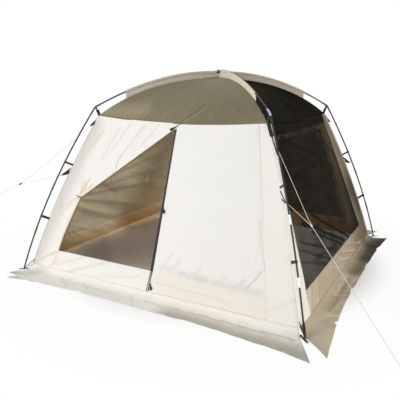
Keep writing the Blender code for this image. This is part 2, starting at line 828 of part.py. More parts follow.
def clip_arm(height):
    """Corners of a strap from the binding into its ring, low to high."""
    low, high = height - CLIP_WIDTH / 2, height + CLIP_WIDTH / 2
    near = edge_radius(height) + BINDING_DEPTH
    tilt = Vector((0, 0, 1)).angle(leg_way(height))
    back = ring_wire_reach(POLE_RADIUS) / math.cos(tilt)
    return [(near, low), (leg_radius(low) - back, low), (leg_radius(high) - back, high), (near, high)]


def ring_wire_reach(bar_radius):
    """From a bar's middle to just inside the wire of the ring round it."""
    return bar_radius + RING_CLEARANCE + 0.6 * CLIP_WIRE


def leg_way(height):
    rise = 0.01
    return Vector((leg_radius(height + rise) - leg_radius(height), 0, rise)).normalized()


def tab_tips():
    """Where the upper and lower guy tabs end, as distance from the middle and height."""
    heights = [top - drop for top, drop in zip(TAB_TOPS, TAB_TIP_DROPS)]
    return [(edge_radius(height) + reach, height) for height, reach in zip(heights, TAB_TIP_REACHES)]


def guy_tab(tab_top, tip):
    """Corners of a triangular tab, low to high, ending in a blunt tip."""
    low = tab_top - TAB_DEPTH
    half = TAB_TIP_WIDTH / 2
    near_low = edge_radius(low) + BINDING_DEPTH
    near_high = edge_radius(tab_top) + BINDING_DEPTH
    return [(near_low, low), (tip[0] - 0.004, tip[1] - half), (tip[0], tip[1]), (near_high, tab_top)]


def outer_edge(features, bottom, top):
    """The binding's outer edge with each feature let into it, low to high."""
    ordered = sorted(features, key=lambda corners: corners[0][1])
    plain = [(edge_radius(h) + BINDING_DEPTH, h) for h in spaced(bottom, top, 12)]

    def taken(height):
        return any(f[0][1] - 0.01 < height < f[-1][1] + 0.01 for f in ordered)

    points = [(point[1], [point]) for point in plain if not taken(point[1])]
    points += [(corners[0][1], corners) for corners in ordered]
    return [corner for _, corners in sorted(points, key=lambda item: item[0]) for corner in corners]


def elbow_strap_outline(top):
    """Corners of the strap from the eave corner up to the elbow."""
    inner = edge_radius(top) + CLOTH + GAP
    end = elbow_route()[ELBOW_RING_POINT]
    way = (end - Vector((inner, 0, top))).normalized()
    reach = end - way * (ring_wire_reach(FERRULE_RADIUS) + 0.4 * CLIP_WIRE)
    side = Vector((-way.z, 0, way.x)) * (CLIP_WIDTH / 4)
    left, right = reach + side, reach - side
    return [(left.x, left.z), (right.x, right.z)]


def clip_ring(height, collection):
    centre = Vector((leg_radius(height), 0, height))
    return pole_ring(centre, leg_way(height), POLE_RADIUS)


def elbow_ring(collection):
    route = elbow_route()
    way = route[ELBOW_RING_POINT + 1] - route[ELBOW_RING_POINT - 1]
    return pole_ring(route[ELBOW_RING_POINT], way, FERRULE_RADIUS)


def pole_ring(centre, way, bar_radius):
    """A ring round a bar, square to the bar, with running clearance."""
    bpy.ops.mesh.primitive_torus_add(
        major_segments=12,
        minor_segments=5,
        major_radius=bar_radius + RING_CLEARANCE + CLIP_WIRE,
        minor_radius=CLIP_WIRE,
    )
    ring = bpy.context.object
    ring.rotation_mode = "QUATERNION"
    ring.rotation_quaternion = Vector((0, 0, 1)).rotation_difference(way.normalized())
    ring.location = centre
    bpy.context.view_layer.update()
    return ring


def guy_line(corner, end_radius, runner_material, mats, collection):
    """Bridle from both tabs to a junction, and the main line from there outward."""
    beside = POLE_RADIUS + CORD_RADIUS + 2 * GAP
    side = 1 if corner == "front_right" else -1
    junction = Vector((JUNCTION_RADIUS, side * beside, JUNCTION_HEIGHT))
    upper, lower = (bridle_leg(tip, reach, junction, side) for tip, reach in zip(tab_tips(), PASSING_REACH))
    loop_centre = junction - Vector((CORD_BEND, 0, CORD_BEND))
    turn = [math.radians(60 - 150 * k / 8) for k in range(9)]
    loop = [loop_centre + Vector((math.cos(a), 0, math.sin(a))) * CORD_BEND for a in turn]
    route = upper + loop + lower[::-1]
    radii = [CORD_RADIUS] * len(route)
    bridle = tube_mesh(f"guy_bridle_{corner}", route, radii, mats["cord"], collection, 1)
    turn_to_corner(bridle, corner)
    way = Vector((1, 0, GUY_SLOPE)).normalized()
    runner_start = loop_centre + way * (CORD_BEND + CORD_RADIUS + GAP)
    runner_end = runner_start + way * RUNNER_LENGTH
    shares = ((0, 0.3), (0.15, 0.9), (0.5, 1.0), (0.85, 0.8), (1, 0.45))
    knot_points = [runner_start.lerp(runner_end, share) for share, _ in shares]
    knot_radii = [RUNNER_RADIUS * size for _, size in shares]
    runner = tube_mesh(f"guy_runner_{corner}", knot_points, knot_radii, runner_material, collection, 3)
    turn_to_corner(runner, corner)
    line_start = runner_end + way * GAP
    line_end = line_start + way * ((end_radius - line_start.x) / way.x)
    line = [line_start.lerp(line_end, i / 12) for i in range(13)]
    main_line = tube_mesh(f"guy_main_{corner}", line, [CORD_RADIUS] * len(line), mats["cord"], collection, 1)
    turn_to_corner(main_line, corner)


def bridle_leg(tip, passing_reach, junction, side):
    """From the face of a tab, past the side of the pole, to the junction's loop."""
    start = Vector((tip[0] - 0.010, 0, tip[1]))
    side_of_loop = 0 if tip[1] > junction.z + PASSING_REACH[0] * 2 else -2 * CORD_BEND
    end = Vector((junction.x - 2 * CORD_BEND, 0, junction.z + side_of_loop))
    against = WEBBING / 2 + CORD_RADIUS + GAP
    leg = []
    for k in range(13):
        point = start.lerp(end, (k / 12) ** 1.6)
        share = min(1, (point.x - start.x) / passing_reach)
        point.y = blend(side * against, junction.y, share)
        leg.append(point)
    return leg


def zip_slider(name, height, mats, collection):
    """Slider body with its pull tab, hung on the free edge of the closed flap."""
    out = flap_offset() + CLOTH / 2 + GAP + SLIDER_DEPTH / 2
    bpy.ops.mesh.primitive_cube_add(size=1)
    body = bpy.context.object
    body.name = name
    body.data.transform(Matrix.Diagonal((SLIDER_WIDTH, SLIDER_LENGTH, SLIDER_DEPTH, 1)))
    bpy.ops.mesh.primitive_cube_add(size=1)
    pull = bpy.context.object
    shape = Matrix.Diagonal((PULL_WIDTH, PULL_LENGTH, SLIDER_DEPTH / 2, 1))
    pull.data.transform(Matrix.Translation((0, -PULL_LENGTH / 2, SLIDER_DEPTH / 4)) @ shape)
    combine(body, "UNION", [pull])
    soften(body, 0.0008)
    for holder in list(body.users_collection):
        holder.objects.unlink(body)
    collection.objects.link(body)
    body.data.materials.clear()
    body.data.materials.append(mats["webbing"])
    place = Matrix.Translation((ZIP_X + PULL_WIDTH / 2, slope_length(height), 0))
    body.matrix_world = wall_matrix("front", out) @ place
    return body


def soften(made, width):
    edge = made.modifiers.new("edge", "BEVEL")
    edge.width = width
    edge.segments = 1
    edge.limit_method = "ANGLE"


def toggle(mats, collection):
    """The bar that holds the rolled edge, lying on the roll."""
    half = TOGGLE_LENGTH / 2
    shares = ((-1, 0.5), (-0.85, 0.95), (0, 1), (0.85, 0.95), (1, 0.5))
    points = [Vector((half * share, 0, 0)) for share, _ in shares]
    radii = [TOGGLE_RADIUS * size for _, size in shares]
    made = tube_mesh("flap_toggle", points, radii, mats["webbing"], collection, 3)
    share = (TIE_HEIGHT - SILL_HEIGHT) / (HEADER_HEIGHT - SILL_HEIGHT)
    out = flap_offset() + 2 * roll_radius(share) + CLOTH / 2 + TOGGLE_RADIUS + GAP
    place = Matrix.Translation((TIE_X, slope_length(TIE_HEIGHT), 0))
    tilt = Matrix.Rotation(math.radians(-35), 4, "Z")
    made.matrix_world = wall_matrix("front", out) @ place @ tilt
    return made


def apex_patch(mats, collection):
    """The cloth disc over the four roof tips, with the loop that ties it to the crossing poles."""
    base = roof_height(0) + CLOTH + 4 * GAP
    disc = bmesh.new()
    bmesh.ops.create_circle(disc, cap_ends=True, cap_tris=True, segments=24, radius=PATCH_RADIUS)
    for vert in disc.verts:
        vert.co.z = base - (roof_height(0) - roof_height(vert.co.xy.length))
    made = mesh_object("apex_patch", disc, mats["olive"], collection)
    shell = made.modifiers.new("thickness", "SOLIDIFY")
    shell.thickness = CLOTH
    shell.offset = 0
    half = 2 * POLE_RADIUS + PATCH_LOOP_WIRE + 2 * GAP
    top = APEX_HEIGHT + half
    corners = [Vector((x, 0, z)) for x, z in ((-half, base), (-half, top), (half, top), (half, base))]
    loop = tube_mesh("apex_loop", corners, [PATCH_LOOP_WIRE] * 4, mats["webbing"], collection, 2)
    combine(made, "UNION", [loop])
    return made


def make_materials():
    return {
        "pole": make_material("dark_pole", (0.045, 0.048, 0.055), 0.35, 0.6),
        "steel": make_material("bright_steel", (0.62, 0.62, 0.64), 0.25, 1.0),
        "webbing": make_material("black_webbing", (0.018, 0.016, 0.014), 0.8),
        "olive": make_material("olive_roof_cloth", (0.175, 0.150, 0.092), 0.75),
        "cream": make_material("cream_wall_cloth", (0.84, 0.80, 0.72), 0.8),
        "skirt": make_material("cream_skirt_cloth", (0.76, 0.70, 0.60), 0.85),
        "sleeve": make_material("beige_sleeve_cloth", (0.52, 0.46, 0.38), 0.8),
        "netting": make_material("dark_netting", (0.030, 0.026, 0.022), 0.9),
        "cord": make_material("pale_cord", (0.72, 0.68, 0.58), 0.8),
    }


def main():
    clear_scene()
    tent = make_collection("screen_tent")
    mats = make_materials()
    lift = POLE_RADIUS + GAP
    roof_pole("roof_pole_lower", CORNER_TURNS["back_right"], -lift, mats, tent)
    roof_pole("roof_pole_upper", CORNER_TURNS["back_left"], lift, mats, tent)
    for corner in CORNER_TURNS:
        upper_leg(corner, mats, tent)
        middle_leg(corner, mats, tent)
        lower_leg(corner, mats, tent)
        foot(corner, mats, tent)
        pole_sleeve(corner, mats, tent)
        corner_webbing(corner, mats, tent)
    for side in SIDES:
        roof_panel(side, mats, tent)
        wall_panel(side, mats, tent)
        skirt(side, mats, tent)
    front_nets(mats, tent)
    front_right_flap(mats, tent)
    tied_back_flap(mats, tent)
    for side in ("right", "back", "left"):
        netting(f"{side}_net", side, opening_outline(), mats, tent)
    for side in ("back", "left"):
        closed_flap(side, mats, tent)
    stowed_flap(mats, tent)
    guy_line("front_left", LEFT_GUY_END, mats["webbing"], mats, tent)
    guy_line("front_right", RIGHT_GUY_END, mats["cord"], mats, tent)
    for name, height in zip(("zip_slider_upper", "zip_slider_lower"), SLIDER_HEIGHTS):
        zip_slider(name, height, mats, tent)
    toggle(mats, tent)
    apex_patch(mats, tent)


main()
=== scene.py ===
"""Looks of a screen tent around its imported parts: cloth, nets, trim, poles, guy lines, light and camera."""

from __future__ import annotations

import logging
import math
from dataclasses import dataclass, field, replace
from enum import Enum
from typing import Any, Callable, Sequence

import bmesh
import bpy
from mathutils import Matrix, Vector, noise

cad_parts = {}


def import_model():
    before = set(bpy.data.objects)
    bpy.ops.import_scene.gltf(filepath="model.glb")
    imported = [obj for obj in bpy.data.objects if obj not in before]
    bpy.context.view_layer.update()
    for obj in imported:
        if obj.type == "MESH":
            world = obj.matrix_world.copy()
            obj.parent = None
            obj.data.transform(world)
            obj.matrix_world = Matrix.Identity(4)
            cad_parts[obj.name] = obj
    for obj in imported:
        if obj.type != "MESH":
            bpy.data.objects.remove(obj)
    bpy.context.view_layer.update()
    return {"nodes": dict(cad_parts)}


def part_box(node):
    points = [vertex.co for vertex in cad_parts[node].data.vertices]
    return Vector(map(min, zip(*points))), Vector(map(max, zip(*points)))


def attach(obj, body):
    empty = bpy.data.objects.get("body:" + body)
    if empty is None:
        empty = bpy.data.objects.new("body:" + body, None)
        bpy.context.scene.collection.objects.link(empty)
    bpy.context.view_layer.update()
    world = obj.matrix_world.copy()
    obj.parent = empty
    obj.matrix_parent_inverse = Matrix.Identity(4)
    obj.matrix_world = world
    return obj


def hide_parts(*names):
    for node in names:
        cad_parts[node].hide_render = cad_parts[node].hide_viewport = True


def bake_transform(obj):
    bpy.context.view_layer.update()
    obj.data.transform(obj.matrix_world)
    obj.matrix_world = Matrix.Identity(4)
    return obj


LOG = logging.getLogger("screen_tent")
MATERIALS: dict[str, bpy.types.Material] = {}
Pair = tuple[float, float]
Colour = tuple[float, float, float]
Tape = tuple[Vector, Vector, float]
Socket = bpy.types.NodeSocket
Piece = bpy.types.Object


class Bearing(Enum):
    """A wall or corner of the tent, whose value is its turn in degrees."""

    @property
    def word(self) -> str:
        """Its name in lower case."""
        return self.name.lower()

    @property
    def turn(self) -> Matrix:
        """The turn to it, from the front wall or from the X axis."""
        return Matrix.Rotation(math.radians(self.value), 4, "Z")

    def turned(self, points: Sequence[Vector]) -> list[Vector]:
        """The points turned to it."""
        return [self.turn @ point for point in points]


class Side(Bearing):
    """A wall of the tent, with its quarter turn from the front."""

    FRONT = 0
    RIGHT = 90
    BACK = 180
    LEFT = 270

    @property
    def along(self) -> Vector:
        """The direction along the wall, to the right seen from outside."""
        return self.turn @ Vector((1, 0, 0))

    @property
    def upward(self) -> Vector:
        """The direction up the wall's slope."""
        return self.turn @ Vector((0, math.sin(SHAPE.lean), math.cos(SHAPE.lean)))


class Corner(Bearing):
    """A corner of the tent, with the direction of its diagonal."""

    FRONT_LEFT = -135
    FRONT_RIGHT = -45
    BACK_RIGHT = 45
    BACK_LEFT = 135

    @property
    def aside(self) -> Vector:
        """The direction square to the corner's upright plane."""
        return self.turn @ Vector((0, 1, 0))


def mix(start: float, end: float, share: float) -> float:
    """A value between two ends."""
    return start + (end - start) * share


def ease(share: float) -> float:
    """A share from 0 to 1, eased at both ends."""
    share = max(0.0, min(1.0, share))
    return share * share * (3 - 2 * share)


def pinned(share: float, near: float, far: float, slack: Pair = (0.0, 0.0)) -> float:
    """How free the cloth is between two sewn edges: 1 in the middle, falling off steeply or gently.

    Args:
        share: 0 at one edge and 1 at the other.
        near: Steepness at the first edge.
        far: Steepness at the second edge.
        slack: What is left at each edge.

    Returns:
        The share of its depth that a fold keeps.
    """
    return ease(near * share + slack[0]) * ease(far * (1 - share) + slack[1])


def rumple(size: float, seed: float, x: float, y: float = 0.0, z: float = 0.0) -> float:
    """Soft noise from -1 to 1 at a point.

    Args:
        size: Width of one swell, in metres.
        seed: Sets one piece of cloth apart from the next.
        x: Where it is read, in metres.
        y: The same for the second axis.
        z: The same for the third axis.

    Returns:
        The height of the noise.
    """
    return noise.noise(Vector((x, y, z)) / size + Vector((seed, 2.3 * seed, -seed)))


@dataclass(frozen=True)
class TentShape:
    """The tent's driving sizes in metres, and the curves that its pieces follow."""

    base_radius: float = 2.111
    eave_radius: float = 1.325
    eave_height: float = 1.630
    roof_top: float = 2.021
    foot_radius: float = 2.195
    elbow_radius: float = 1.369
    elbow_height: float = 1.712
    leg_bow: float = 0.0715
    apex_height: float = 2.089
    pole_radius: float = 0.0080
    ferrule_radius: float = 0.0100
    edge_bow: float = 0.050
    eave_sag: float = 0.045
    shoulder: float = 0.24
    hollow: float = 0.050
    wall_bulge: float = 0.0173
    sill: float = 0.237
    header: float = 1.524
    base_seam: float = 0.050
    wing_base: float = 0.300
    wing_eave: float = 0.0855
    flap_out: float = 0.0015
    flap_bottom: float = 0.062
    flap_lap: float = 0.012
    zip_x: float = 0.030
    seam_gap: float = 0.0003

    def leg_radius(self, height: float) -> float:
        """How far a leg stands from the middle at a height."""
        share = height / self.elbow_height
        return mix(self.foot_radius, self.elbow_radius, share) + 4 * self.leg_bow * share * (1 - share)

    def leg_way(self, height: float, rise: float = 0.01) -> Vector:
        """The leg's direction upward at a height, in the corner's plane."""
        return Vector((self.leg_radius(height + rise) - self.leg_radius(height), 0, rise))

    def edge_radius(self, height: float) -> float:
        """How far the corner edge of the walls is from the middle at a height."""
        share = height / self.eave_height
        return mix(self.base_radius, self.eave_radius, share) + 4 * self.edge_bow * share * (1 - share)

    def pole_height(self, radius: float) -> float:
        """Height of the roof poles at a distance from the middle."""
        return self.apex_height - (self.apex_height - self.elbow_height) * (radius / self.elbow_radius) ** 2

    def roof_height(self, radius: float) -> float:
        """Height of the roof cloth under a pole."""
        share = radius / self.eave_radius
        drop = (1 - self.shoulder) * share**2 + self.shoulder * share**4
        return self.roof_top - (self.roof_top - self.eave_height) * drop

    def corner_half(self, height: float) -> float:
        """Half the distance between two corner edges at a height."""
        return self.edge_radius(height) / math.sqrt(2)

    @property
    def wall_base(self) -> float:
        """Distance of a wall's flat middle from the tent's middle, at the ground."""
        return self.base_radius / math.sqrt(2) + self.wall_bulge

    def wall_half(self, height: float) -> float:
        """Distance of a wall's flat middle from the tent's middle."""
        return mix(self.wall_base, self.corner_half(self.eave_height), height / self.eave_height)

    def seam_half(self, height: float) -> float:
        """Half the width of a wall between its two wing seams."""
        top = self.corner_half(self.eave_height) - self.wing_eave
        return mix(self.wall_base - self.wing_base, top, height / self.eave_height)

    def eave_at(self, x: float) -> float:
        """Height of the eave seam along a wall."""
        share = min(abs(x) / self.corner_half(self.eave_height), 1)
        return self.eave_height - self.eave_sag * (1 - share**2)

    @property
    def lean(self) -> float:
        """How far a wall leans in from upright, in radians."""
        return math.atan2(self.wall_base - self.corner_half(self.eave_height), self.eave_height)

    @property
    def outward(self) -> Vector:
        """The front wall's outward direction."""
        return Vector((0, -math.cos(self.lean), math.sin(self.lean)))

    def on_wall(self, side: Side, x: float, height: float, out: float = 0.0) -> Vector:
        """A point on a wall's flat middle.

        Args:
            side: Which wall.
            x: Distance along the wall from its middle, to the right seen from outside.
            height: Height above the ground.
            out: Distance outward from the wall's middle surface.

        Returns:
            The point in the tent's frame.
        """
        return side.turn @ (Vector((x, -self.wall_half(height), height)) + self.outward * out)

    def on_front(self, x: float, height: float, out: float = 0.0) -> Vector:
        """A point on the front wall's flat middle, at a distance outward from the flap."""
        return self.on_wall(Side.FRONT, x, height, self.flap_out + out)

    def at_corner(self, corner: Corner, radius: float, height: float, aside: float = 0.0) -> Vector:
        """A point in a corner's upright diagonal plane, moved aside from it."""
        return corner.turn @ Vector((radius, aside, height))


SHAPE = TentShape()


@dataclass(frozen=True)
class Tone:
    """A soft line on cloth where the light comes through or falls off along a fold."""

    start: Pair
    end: Pair
    width: float
    colour: Colour
    strength: float


def tones(*groups: tuple) -> tuple[Tone, ...]:
    """Soft lines in the order in which they are laid over the colour.

    Args:
        groups: A colour, then its lines: two numbers for each end, the width and the strength.

    Returns:
        The lines.
    """
    return tuple(Tone(row[:2], row[2:4], row[4], colour, row[5]) for colour, *rows in groups for row in rows)


class Graph:
    """A material's or world's nodes, with short ways to add and join them."""

    def __init__(self, owner: bpy.types.ID) -> None:
        """Starts the owner's nodes."""
        owner.use_nodes = True
        self.owner, self.tree = owner, owner.node_tree

    def fill(self, socket: Socket, value: Any) -> None:
        """Joins an output to an input, or sets the input to a plain value."""
        if isinstance(value, bpy.types.NodeSocket):
            self.tree.links.new(value, socket)
        else:
            socket.default_value = value

    def add(self, kind: str, *values: Any, **settings: Any) -> bpy.types.Node:
        """Adds a node.

        Args:
            kind: The node's type without its ShaderNode prefix.
            values: Values or outputs for its first inputs, in order.
            settings: The same for its properties, or for its input sockets by name.

        Returns:
            The node.
        """
        node = self.tree.nodes.new("ShaderNode" + kind)
        for key, value in settings.items():
            socket = node.inputs.get(key.replace("_", " ").title())
            if socket is not None and not hasattr(node, key):
                self.fill(socket, value)
            else:
                setattr(node, key, value)
        for socket, value in zip(node.inputs, values):
            self.fill(socket, value)
        return node

    def set(self, **values: Any) -> None:
        """Fills the shader's own sockets, named in lower case with underscores."""
        for key, value in values.items():
            name = key.replace("_", " ").title().replace("Ior", "IOR")
            self.fill(self.tree.nodes["Principled BSDF"].inputs[name], value)

    def math(self, operation: str, first: Any, second: Any = 0.0) -> Socket:
        """A sum, product or other operation on two values or sockets."""
        return self.add("Math", first, second, operation=operation).outputs[0]

    def scaled(self, value: Socket, factor: Any, base: Any) -> Socket:
        """The value times a factor, added to a base."""
        return self.math("ADD", base, self.math("MULTIPLY", value, factor))

    def vector_math(self, operation: str, *values: Any, output: int | str = 0, **settings: Any) -> Socket:
        """A vector operation on values or sockets."""
        return self.add("VectorMath", *values, operation=operation, **settings).outputs[output]

    def noise(self, source: Socket, scale: float, detail: float = 3.0) -> Socket:
        """Noise of a scale, from 0 to 1."""
        return self.add("TexNoise", vector=source, scale=scale, detail=detail).outputs["Fac"]

    def threads(self, spacing: float, direction: str) -> Socket:
        """Even bands across the cloth's own UV, which is in metres."""
        place = self.add("TexCoord").outputs["UV"]
        scale = math.pi / (10 * spacing)
        return self.add("TexWave", vector=place, bands_direction=direction, scale=scale).outputs["Fac"]

    def between(self, share: Socket, first: Any, second: Any) -> Socket:
        """A colour between two, by a share; each is a colour or a socket."""
        node = self.add("Mix", share, data_type="RGBA")
        for socket, value in zip(node.inputs[6:8], (first, second)):
            self.fill(socket, value if isinstance(value, bpy.types.NodeSocket) else (*value, 1))
        return node.outputs[2]

    def ramp(self, value: Socket, low: float, high: float, start: float = 0.0, end: float = 1.0) -> Socket:
        """A share that grows from start to end as the value goes from low to high."""
        return self.add("MapRange", value, low, high, start, end, interpolation_type="SMOOTHSTEP").outputs["Result"]

    def flat_place(self, place: Socket, axes: str, waver: float) -> Socket:
        """The place seen flat along two axes, a little wavy.

        Args:
            place: Object coordinates.
            axes: The two axes' letters.
            waver: How far the wave moves a point.

        Returns:
            A vector whose first two parts are the two axes.
        """
        split = self.add("SeparateXYZ", place)
        joined = self.add("CombineXYZ")
        for axis, target in zip(axes, joined.inputs):
            wave = self.math("SUBTRACT", self.noise(place, 9.0), 0.5)
            self.fill(target, self.scaled(wave, waver, split.outputs[axis]))
        return joined.outputs[0]

    def nearness(self, flat: Socket, tone: Tone) -> Socket:
        """The line's strength on it, falling to nothing at its width."""
        way = Vector((tone.end[0] - tone.start[0], tone.end[1] - tone.start[1], 0))
        offset = self.vector_math("SUBTRACT", flat, (*tone.start, 0))
        along = self.vector_math("DOT_PRODUCT", offset, way / way.length_squared, output="Value")
        share = self.add("Math", along, 1.0, operation="MULTIPLY", use_clamp=True).outputs[0]
        reached = self.vector_math("SCALE", way, scale=share)
        apart = self.vector_math("DISTANCE", offset, reached, output="Value")
        return self.math("MULTIPLY", self.ramp(apart, tone.width, 0.0), tone.strength)

    def toned(self, flat: Socket, colour: Socket, lines: Sequence[Tone]) -> Socket:
        """The colour with soft lines over it."""
        for tone in lines:
            colour = self.between(self.nearness(flat, tone), colour, tone.colour)
        return colour

    def bump(self, height: Socket, depth: float, before: Socket | None = None) -> Socket:
        """A normal raised by a height, over an earlier one if given."""
        node = self.add("Bump", strength=1.0, distance=depth)
        self.fill(node.inputs["Height"], height)
        if before is not None:
            self.fill(node.inputs["Normal"], before)
        return node.outputs["Normal"]


@dataclass(frozen=True)
class Finish:
    """What a surface is made of; each finish makes its material once."""

    name: str
    colour: Colour = (0.0, 0.0, 0.0)
    shade: Colour = (0.0, 0.0, 0.0)
    slot: str = ""

    def paint(self, graph: Graph, place: Socket) -> None:
        """Adds the material's nodes; place is the object coordinates."""
        raise NotImplementedError

    @property
    def material(self) -> bpy.types.Material:
        """The finish's material, made when first asked for."""
        if self.name not in MATERIALS:
            graph = Graph(bpy.data.materials.new(self.name))
            self.paint(graph, graph.add("TexCoord").outputs["Object"])
            MATERIALS[self.name] = graph.owner
        return MATERIALS[self.name]

    def dress(self, piece: Piece) -> None:
        """Gives the piece this finish in all its slots."""
        piece.data.materials.clear()
        piece.data.materials.append(self.material)

    def dress_part(self, node: Piece) -> None:
        """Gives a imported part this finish."""
        if not node.material_slots:
            node.data.materials.append(self.material)
        for held in node.material_slots:
            held.link = "OBJECT"
            held.material = self.material


@dataclass(frozen=True)
class ClothFinish(Finish):
    """Woven coated cloth."""

    slot: str = "wall_cloth"
    roughness: float = 0.82
    thread: float = 0.0012
    weave_depth: float = 0.00008
    rumple_depth: float = 0.0030
    rumple_scale: float = 5.0
    glow: float = 0.0
    glow_reach: float = 0.02
    sheen: float = 0.12
    # A warmer tone low down: doubled cloth, with painted light from the ground on it.
    low_colour: Colour | None = None
    low_height: float = 0.280
    low_blend: float = 0.030
    # Lines of painted light and shade laid over the colour.
    tones: tuple[Tone, ...] = ()
    axes: str = "XZ"
    waver: float = 0.02
    stretch: tuple[float, float, float] = (1.0, 1.0, 1.0)
    specular: float = 0.20
    # A painted glow: an emission colour that stands for light coming through the cloth.
    through: Colour | None = None

    def lowered(self, graph: Graph, place: Socket, upper: Socket) -> Socket:
        """The colour with a warmer tone below a height: doubled cloth there, with painted light from the ground on it.

        Args:
            graph: The material's nodes.
            place: Object coordinates.
            upper: The colour above.

        Returns:
            The blended colour.
        """
        height = graph.add("SeparateXYZ", place).outputs["Z"]
        level = graph.scaled(graph.noise(place, 7.0, 4.0), 0.05, height)
        share = graph.ramp(level, self.low_height - self.low_blend, self.low_height + self.low_blend)
        return graph.between(share, self.low_colour, upper)

    def paint(self, graph: Graph, place: Socket) -> None:
        """Makes the cloth's colour clouds, weave and fine rumples, with lines of painted light and shade and a painted
        glow.
        """
        fibre = graph.noise(place, 420.0, 2.0)
        clouds = graph.math("MULTIPLY", graph.noise(place, 2.6, 4.0), 0.75)
        colour = graph.between(graph.scaled(fibre, 0.25, clouds), self.shade, self.colour)
        if self.low_colour is not None:
            colour = self.lowered(graph, place, colour)
        if self.tones:
            colour = graph.toned(graph.flat_place(place, self.axes, self.waver), colour, self.tones)
        # The painted glow: emission that stands for light coming through the cloth.
        if self.through is not None:
            graph.set(emission_color=(*self.through, 1), emission_strength=1.0)
        weave = graph.math("MULTIPLY", graph.threads(self.thread, "X"), graph.threads(self.thread, "Y"))
        stretched = graph.add("Mapping", vector=place, scale=self.stretch).outputs["Vector"]
        rumples = graph.noise(stretched, self.rumple_scale, 5.0)
        graph.set(
            base_color=colour,
            roughness=graph.scaled(fibre, 0.10, self.roughness - 0.05),
            normal=graph.bump(rumples, self.rumple_depth, graph.bump(weave, self.weave_depth)),
            sheen_weight=self.sheen,
            specular_ior_level=self.specular,
            subsurface_weight=self.glow,
            subsurface_scale=self.glow_reach,
            subsurface_radius=(1.0, 0.72, 0.42),
        )


@dataclass(frozen=True)
class NetFinish(Finish):
    """Fine mosquito net: threads with open gaps between them, and none where it is gathered; painted light and shade
    lie over the threads' colour.
    """

    slot: str = "netting"
    spacing: float = 0.0016
    cover: float = 0.62
    streak_turn: float = 18.0
    tones: tuple[Tone, ...] = ()
    # Lines where the net is gathered: denser net, painted darker as shade in its folds.
    gathers: tuple[Tone, ...] = ()
    axes: str = "XZ"

    def paint(self, graph: Graph, place: Socket) -> None:
        """Makes the threads, and the gaps between them by the shader's alpha, with painted light and shade over their
        colour and painted shade in the gathers.
        """
        turn = (0, math.radians(self.streak_turn), 0)
        turned = graph.add("Mapping", vector=place, rotation=turn, scale=(1.0, 1.0, 7.0)).outputs["Vector"]
        streaks = graph.ramp(graph.noise(turned, 2.2, 5.0), 0.30, 0.70)
        flat = graph.flat_place(place, self.axes, 0.03) if self.tones else None
        colour = graph.toned(flat, graph.between(streaks, self.shade, self.colour), self.tones + self.gathers)
        duty = 1 - math.sqrt(1 - self.cover)
        edge = 0.5 + 0.5 * math.cos(math.pi * duty)
        lines = [graph.math("GREATER_THAN", graph.threads(self.spacing, way), edge) for way in ("X", "Y")]
        net = graph.math("MAXIMUM", *lines)
        for tone in self.gathers:
            net = graph.math("MAXIMUM", net, graph.nearness(flat, tone))
        soft = graph.bump(graph.noise(place, 6.0, 4.0), 0.004)
        graph.set(base_color=colour, alpha=net, normal=soft, roughness=0.8, specular_ior_level=0.05)


@dataclass(frozen=True)
class WebbingFinish(Finish):
    """Ribbed woven tape."""

    slot: str = "webbing"
    rib: float = 0.0025

    def paint(self, graph: Graph, place: Socket) -> None:
        """Makes the ribs across the tape and its scuffed, dusty clouds."""
        ribs = graph.bump(graph.threads(self.rib, "Y"), 0.0003)
        graph.set(
            base_color=graph.between(graph.noise(place, 30.0, 4.0), self.shade, self.colour),
            normal=graph.bump(graph.noise(place, 900.0, 2.0), 0.0001, ribs),
            roughness=0.75,
            sheen_weight=0.1,
            specular_ior_level=0.3,
        )


@dataclass(frozen=True)
class PoleFinish(Finish):
    """Dark anodised tube, with another metal between two heights."""

    colour: Colour = (0.022, 0.024, 0.030)
    slot: str = "pole"
    steel_low: float = 9.0
    steel_high: float = 9.1
    steel: Colour = (0.52, 0.52, 0.54)

    def paint(self, graph: Graph, place: Socket) -> None:
        """Makes both metals, with fine drawn lines and small scuffs."""
        height = graph.add("SeparateXYZ", place).outputs["Z"]
        above = graph.math("GREATER_THAN", height, self.steel_low)
        is_steel = graph.math("MULTIPLY", above, graph.math("LESS_THAN", height, self.steel_high))
        scuff = graph.noise(place, 60.0, 6.0)
        dark = graph.between(scuff, self.colour, tuple(1.5 * part for part in self.colour))
        steel = graph.between(scuff, self.steel, tuple(0.8 * part for part in self.steel))
        graph.set(
            base_color=graph.between(is_steel, dark, steel),
            roughness=graph.scaled(scuff, 0.22, 0.30),
            metallic=graph.scaled(is_steel, 0.90, 0.10),
            specular_ior_level=0.25,
            normal=graph.bump(graph.noise(place, 500.0, 2.0), 0.00004),
        )


@dataclass(frozen=True)
class PlasticFinish(Finish):
    """Moulded plastic or cast metal of the small hardware."""

    slot: str = "hardware"
    roughness: float = 0.45
    metallic: float = 0.0

    def paint(self, graph: Graph, place: Socket) -> None:
        """Makes a fine moulded grain, a little paler in places."""
        grain = graph.noise(place, 220.0, 4.0)
        paler = tuple(min(1.0, 1.6 * part + 0.01) for part in self.colour)
        graph.set(
            base_color=graph.between(grain, self.colour, paler),
            roughness=graph.scaled(grain, 0.16, self.roughness - 0.08),
            normal=graph.bump(grain, 0.0001),
            metallic=self.metallic,
        )


@dataclass(frozen=True)
class CordFinish(Finish):
    """Braided cord."""

    slot: str = "cord"

    def paint(self, graph: Graph, place: Socket) -> None:
        """Makes the braid's slanting strands and a little grime."""
        wave = {"bands_direction": "DIAGONAL", "scale": 90.0, "distortion": 1.5}
        strands = graph.add("TexWave", vector=place, **wave).outputs["Fac"]
        share = graph.math("MULTIPLY", graph.math("ADD", strands, graph.noise(place, 12.0, 4.0)), 0.5)
        colour = graph.between(share, self.shade, self.colour)
        graph.set(base_color=colour, normal=graph.bump(strands, 0.0003), roughness=0.8, sheen_weight=0.1)
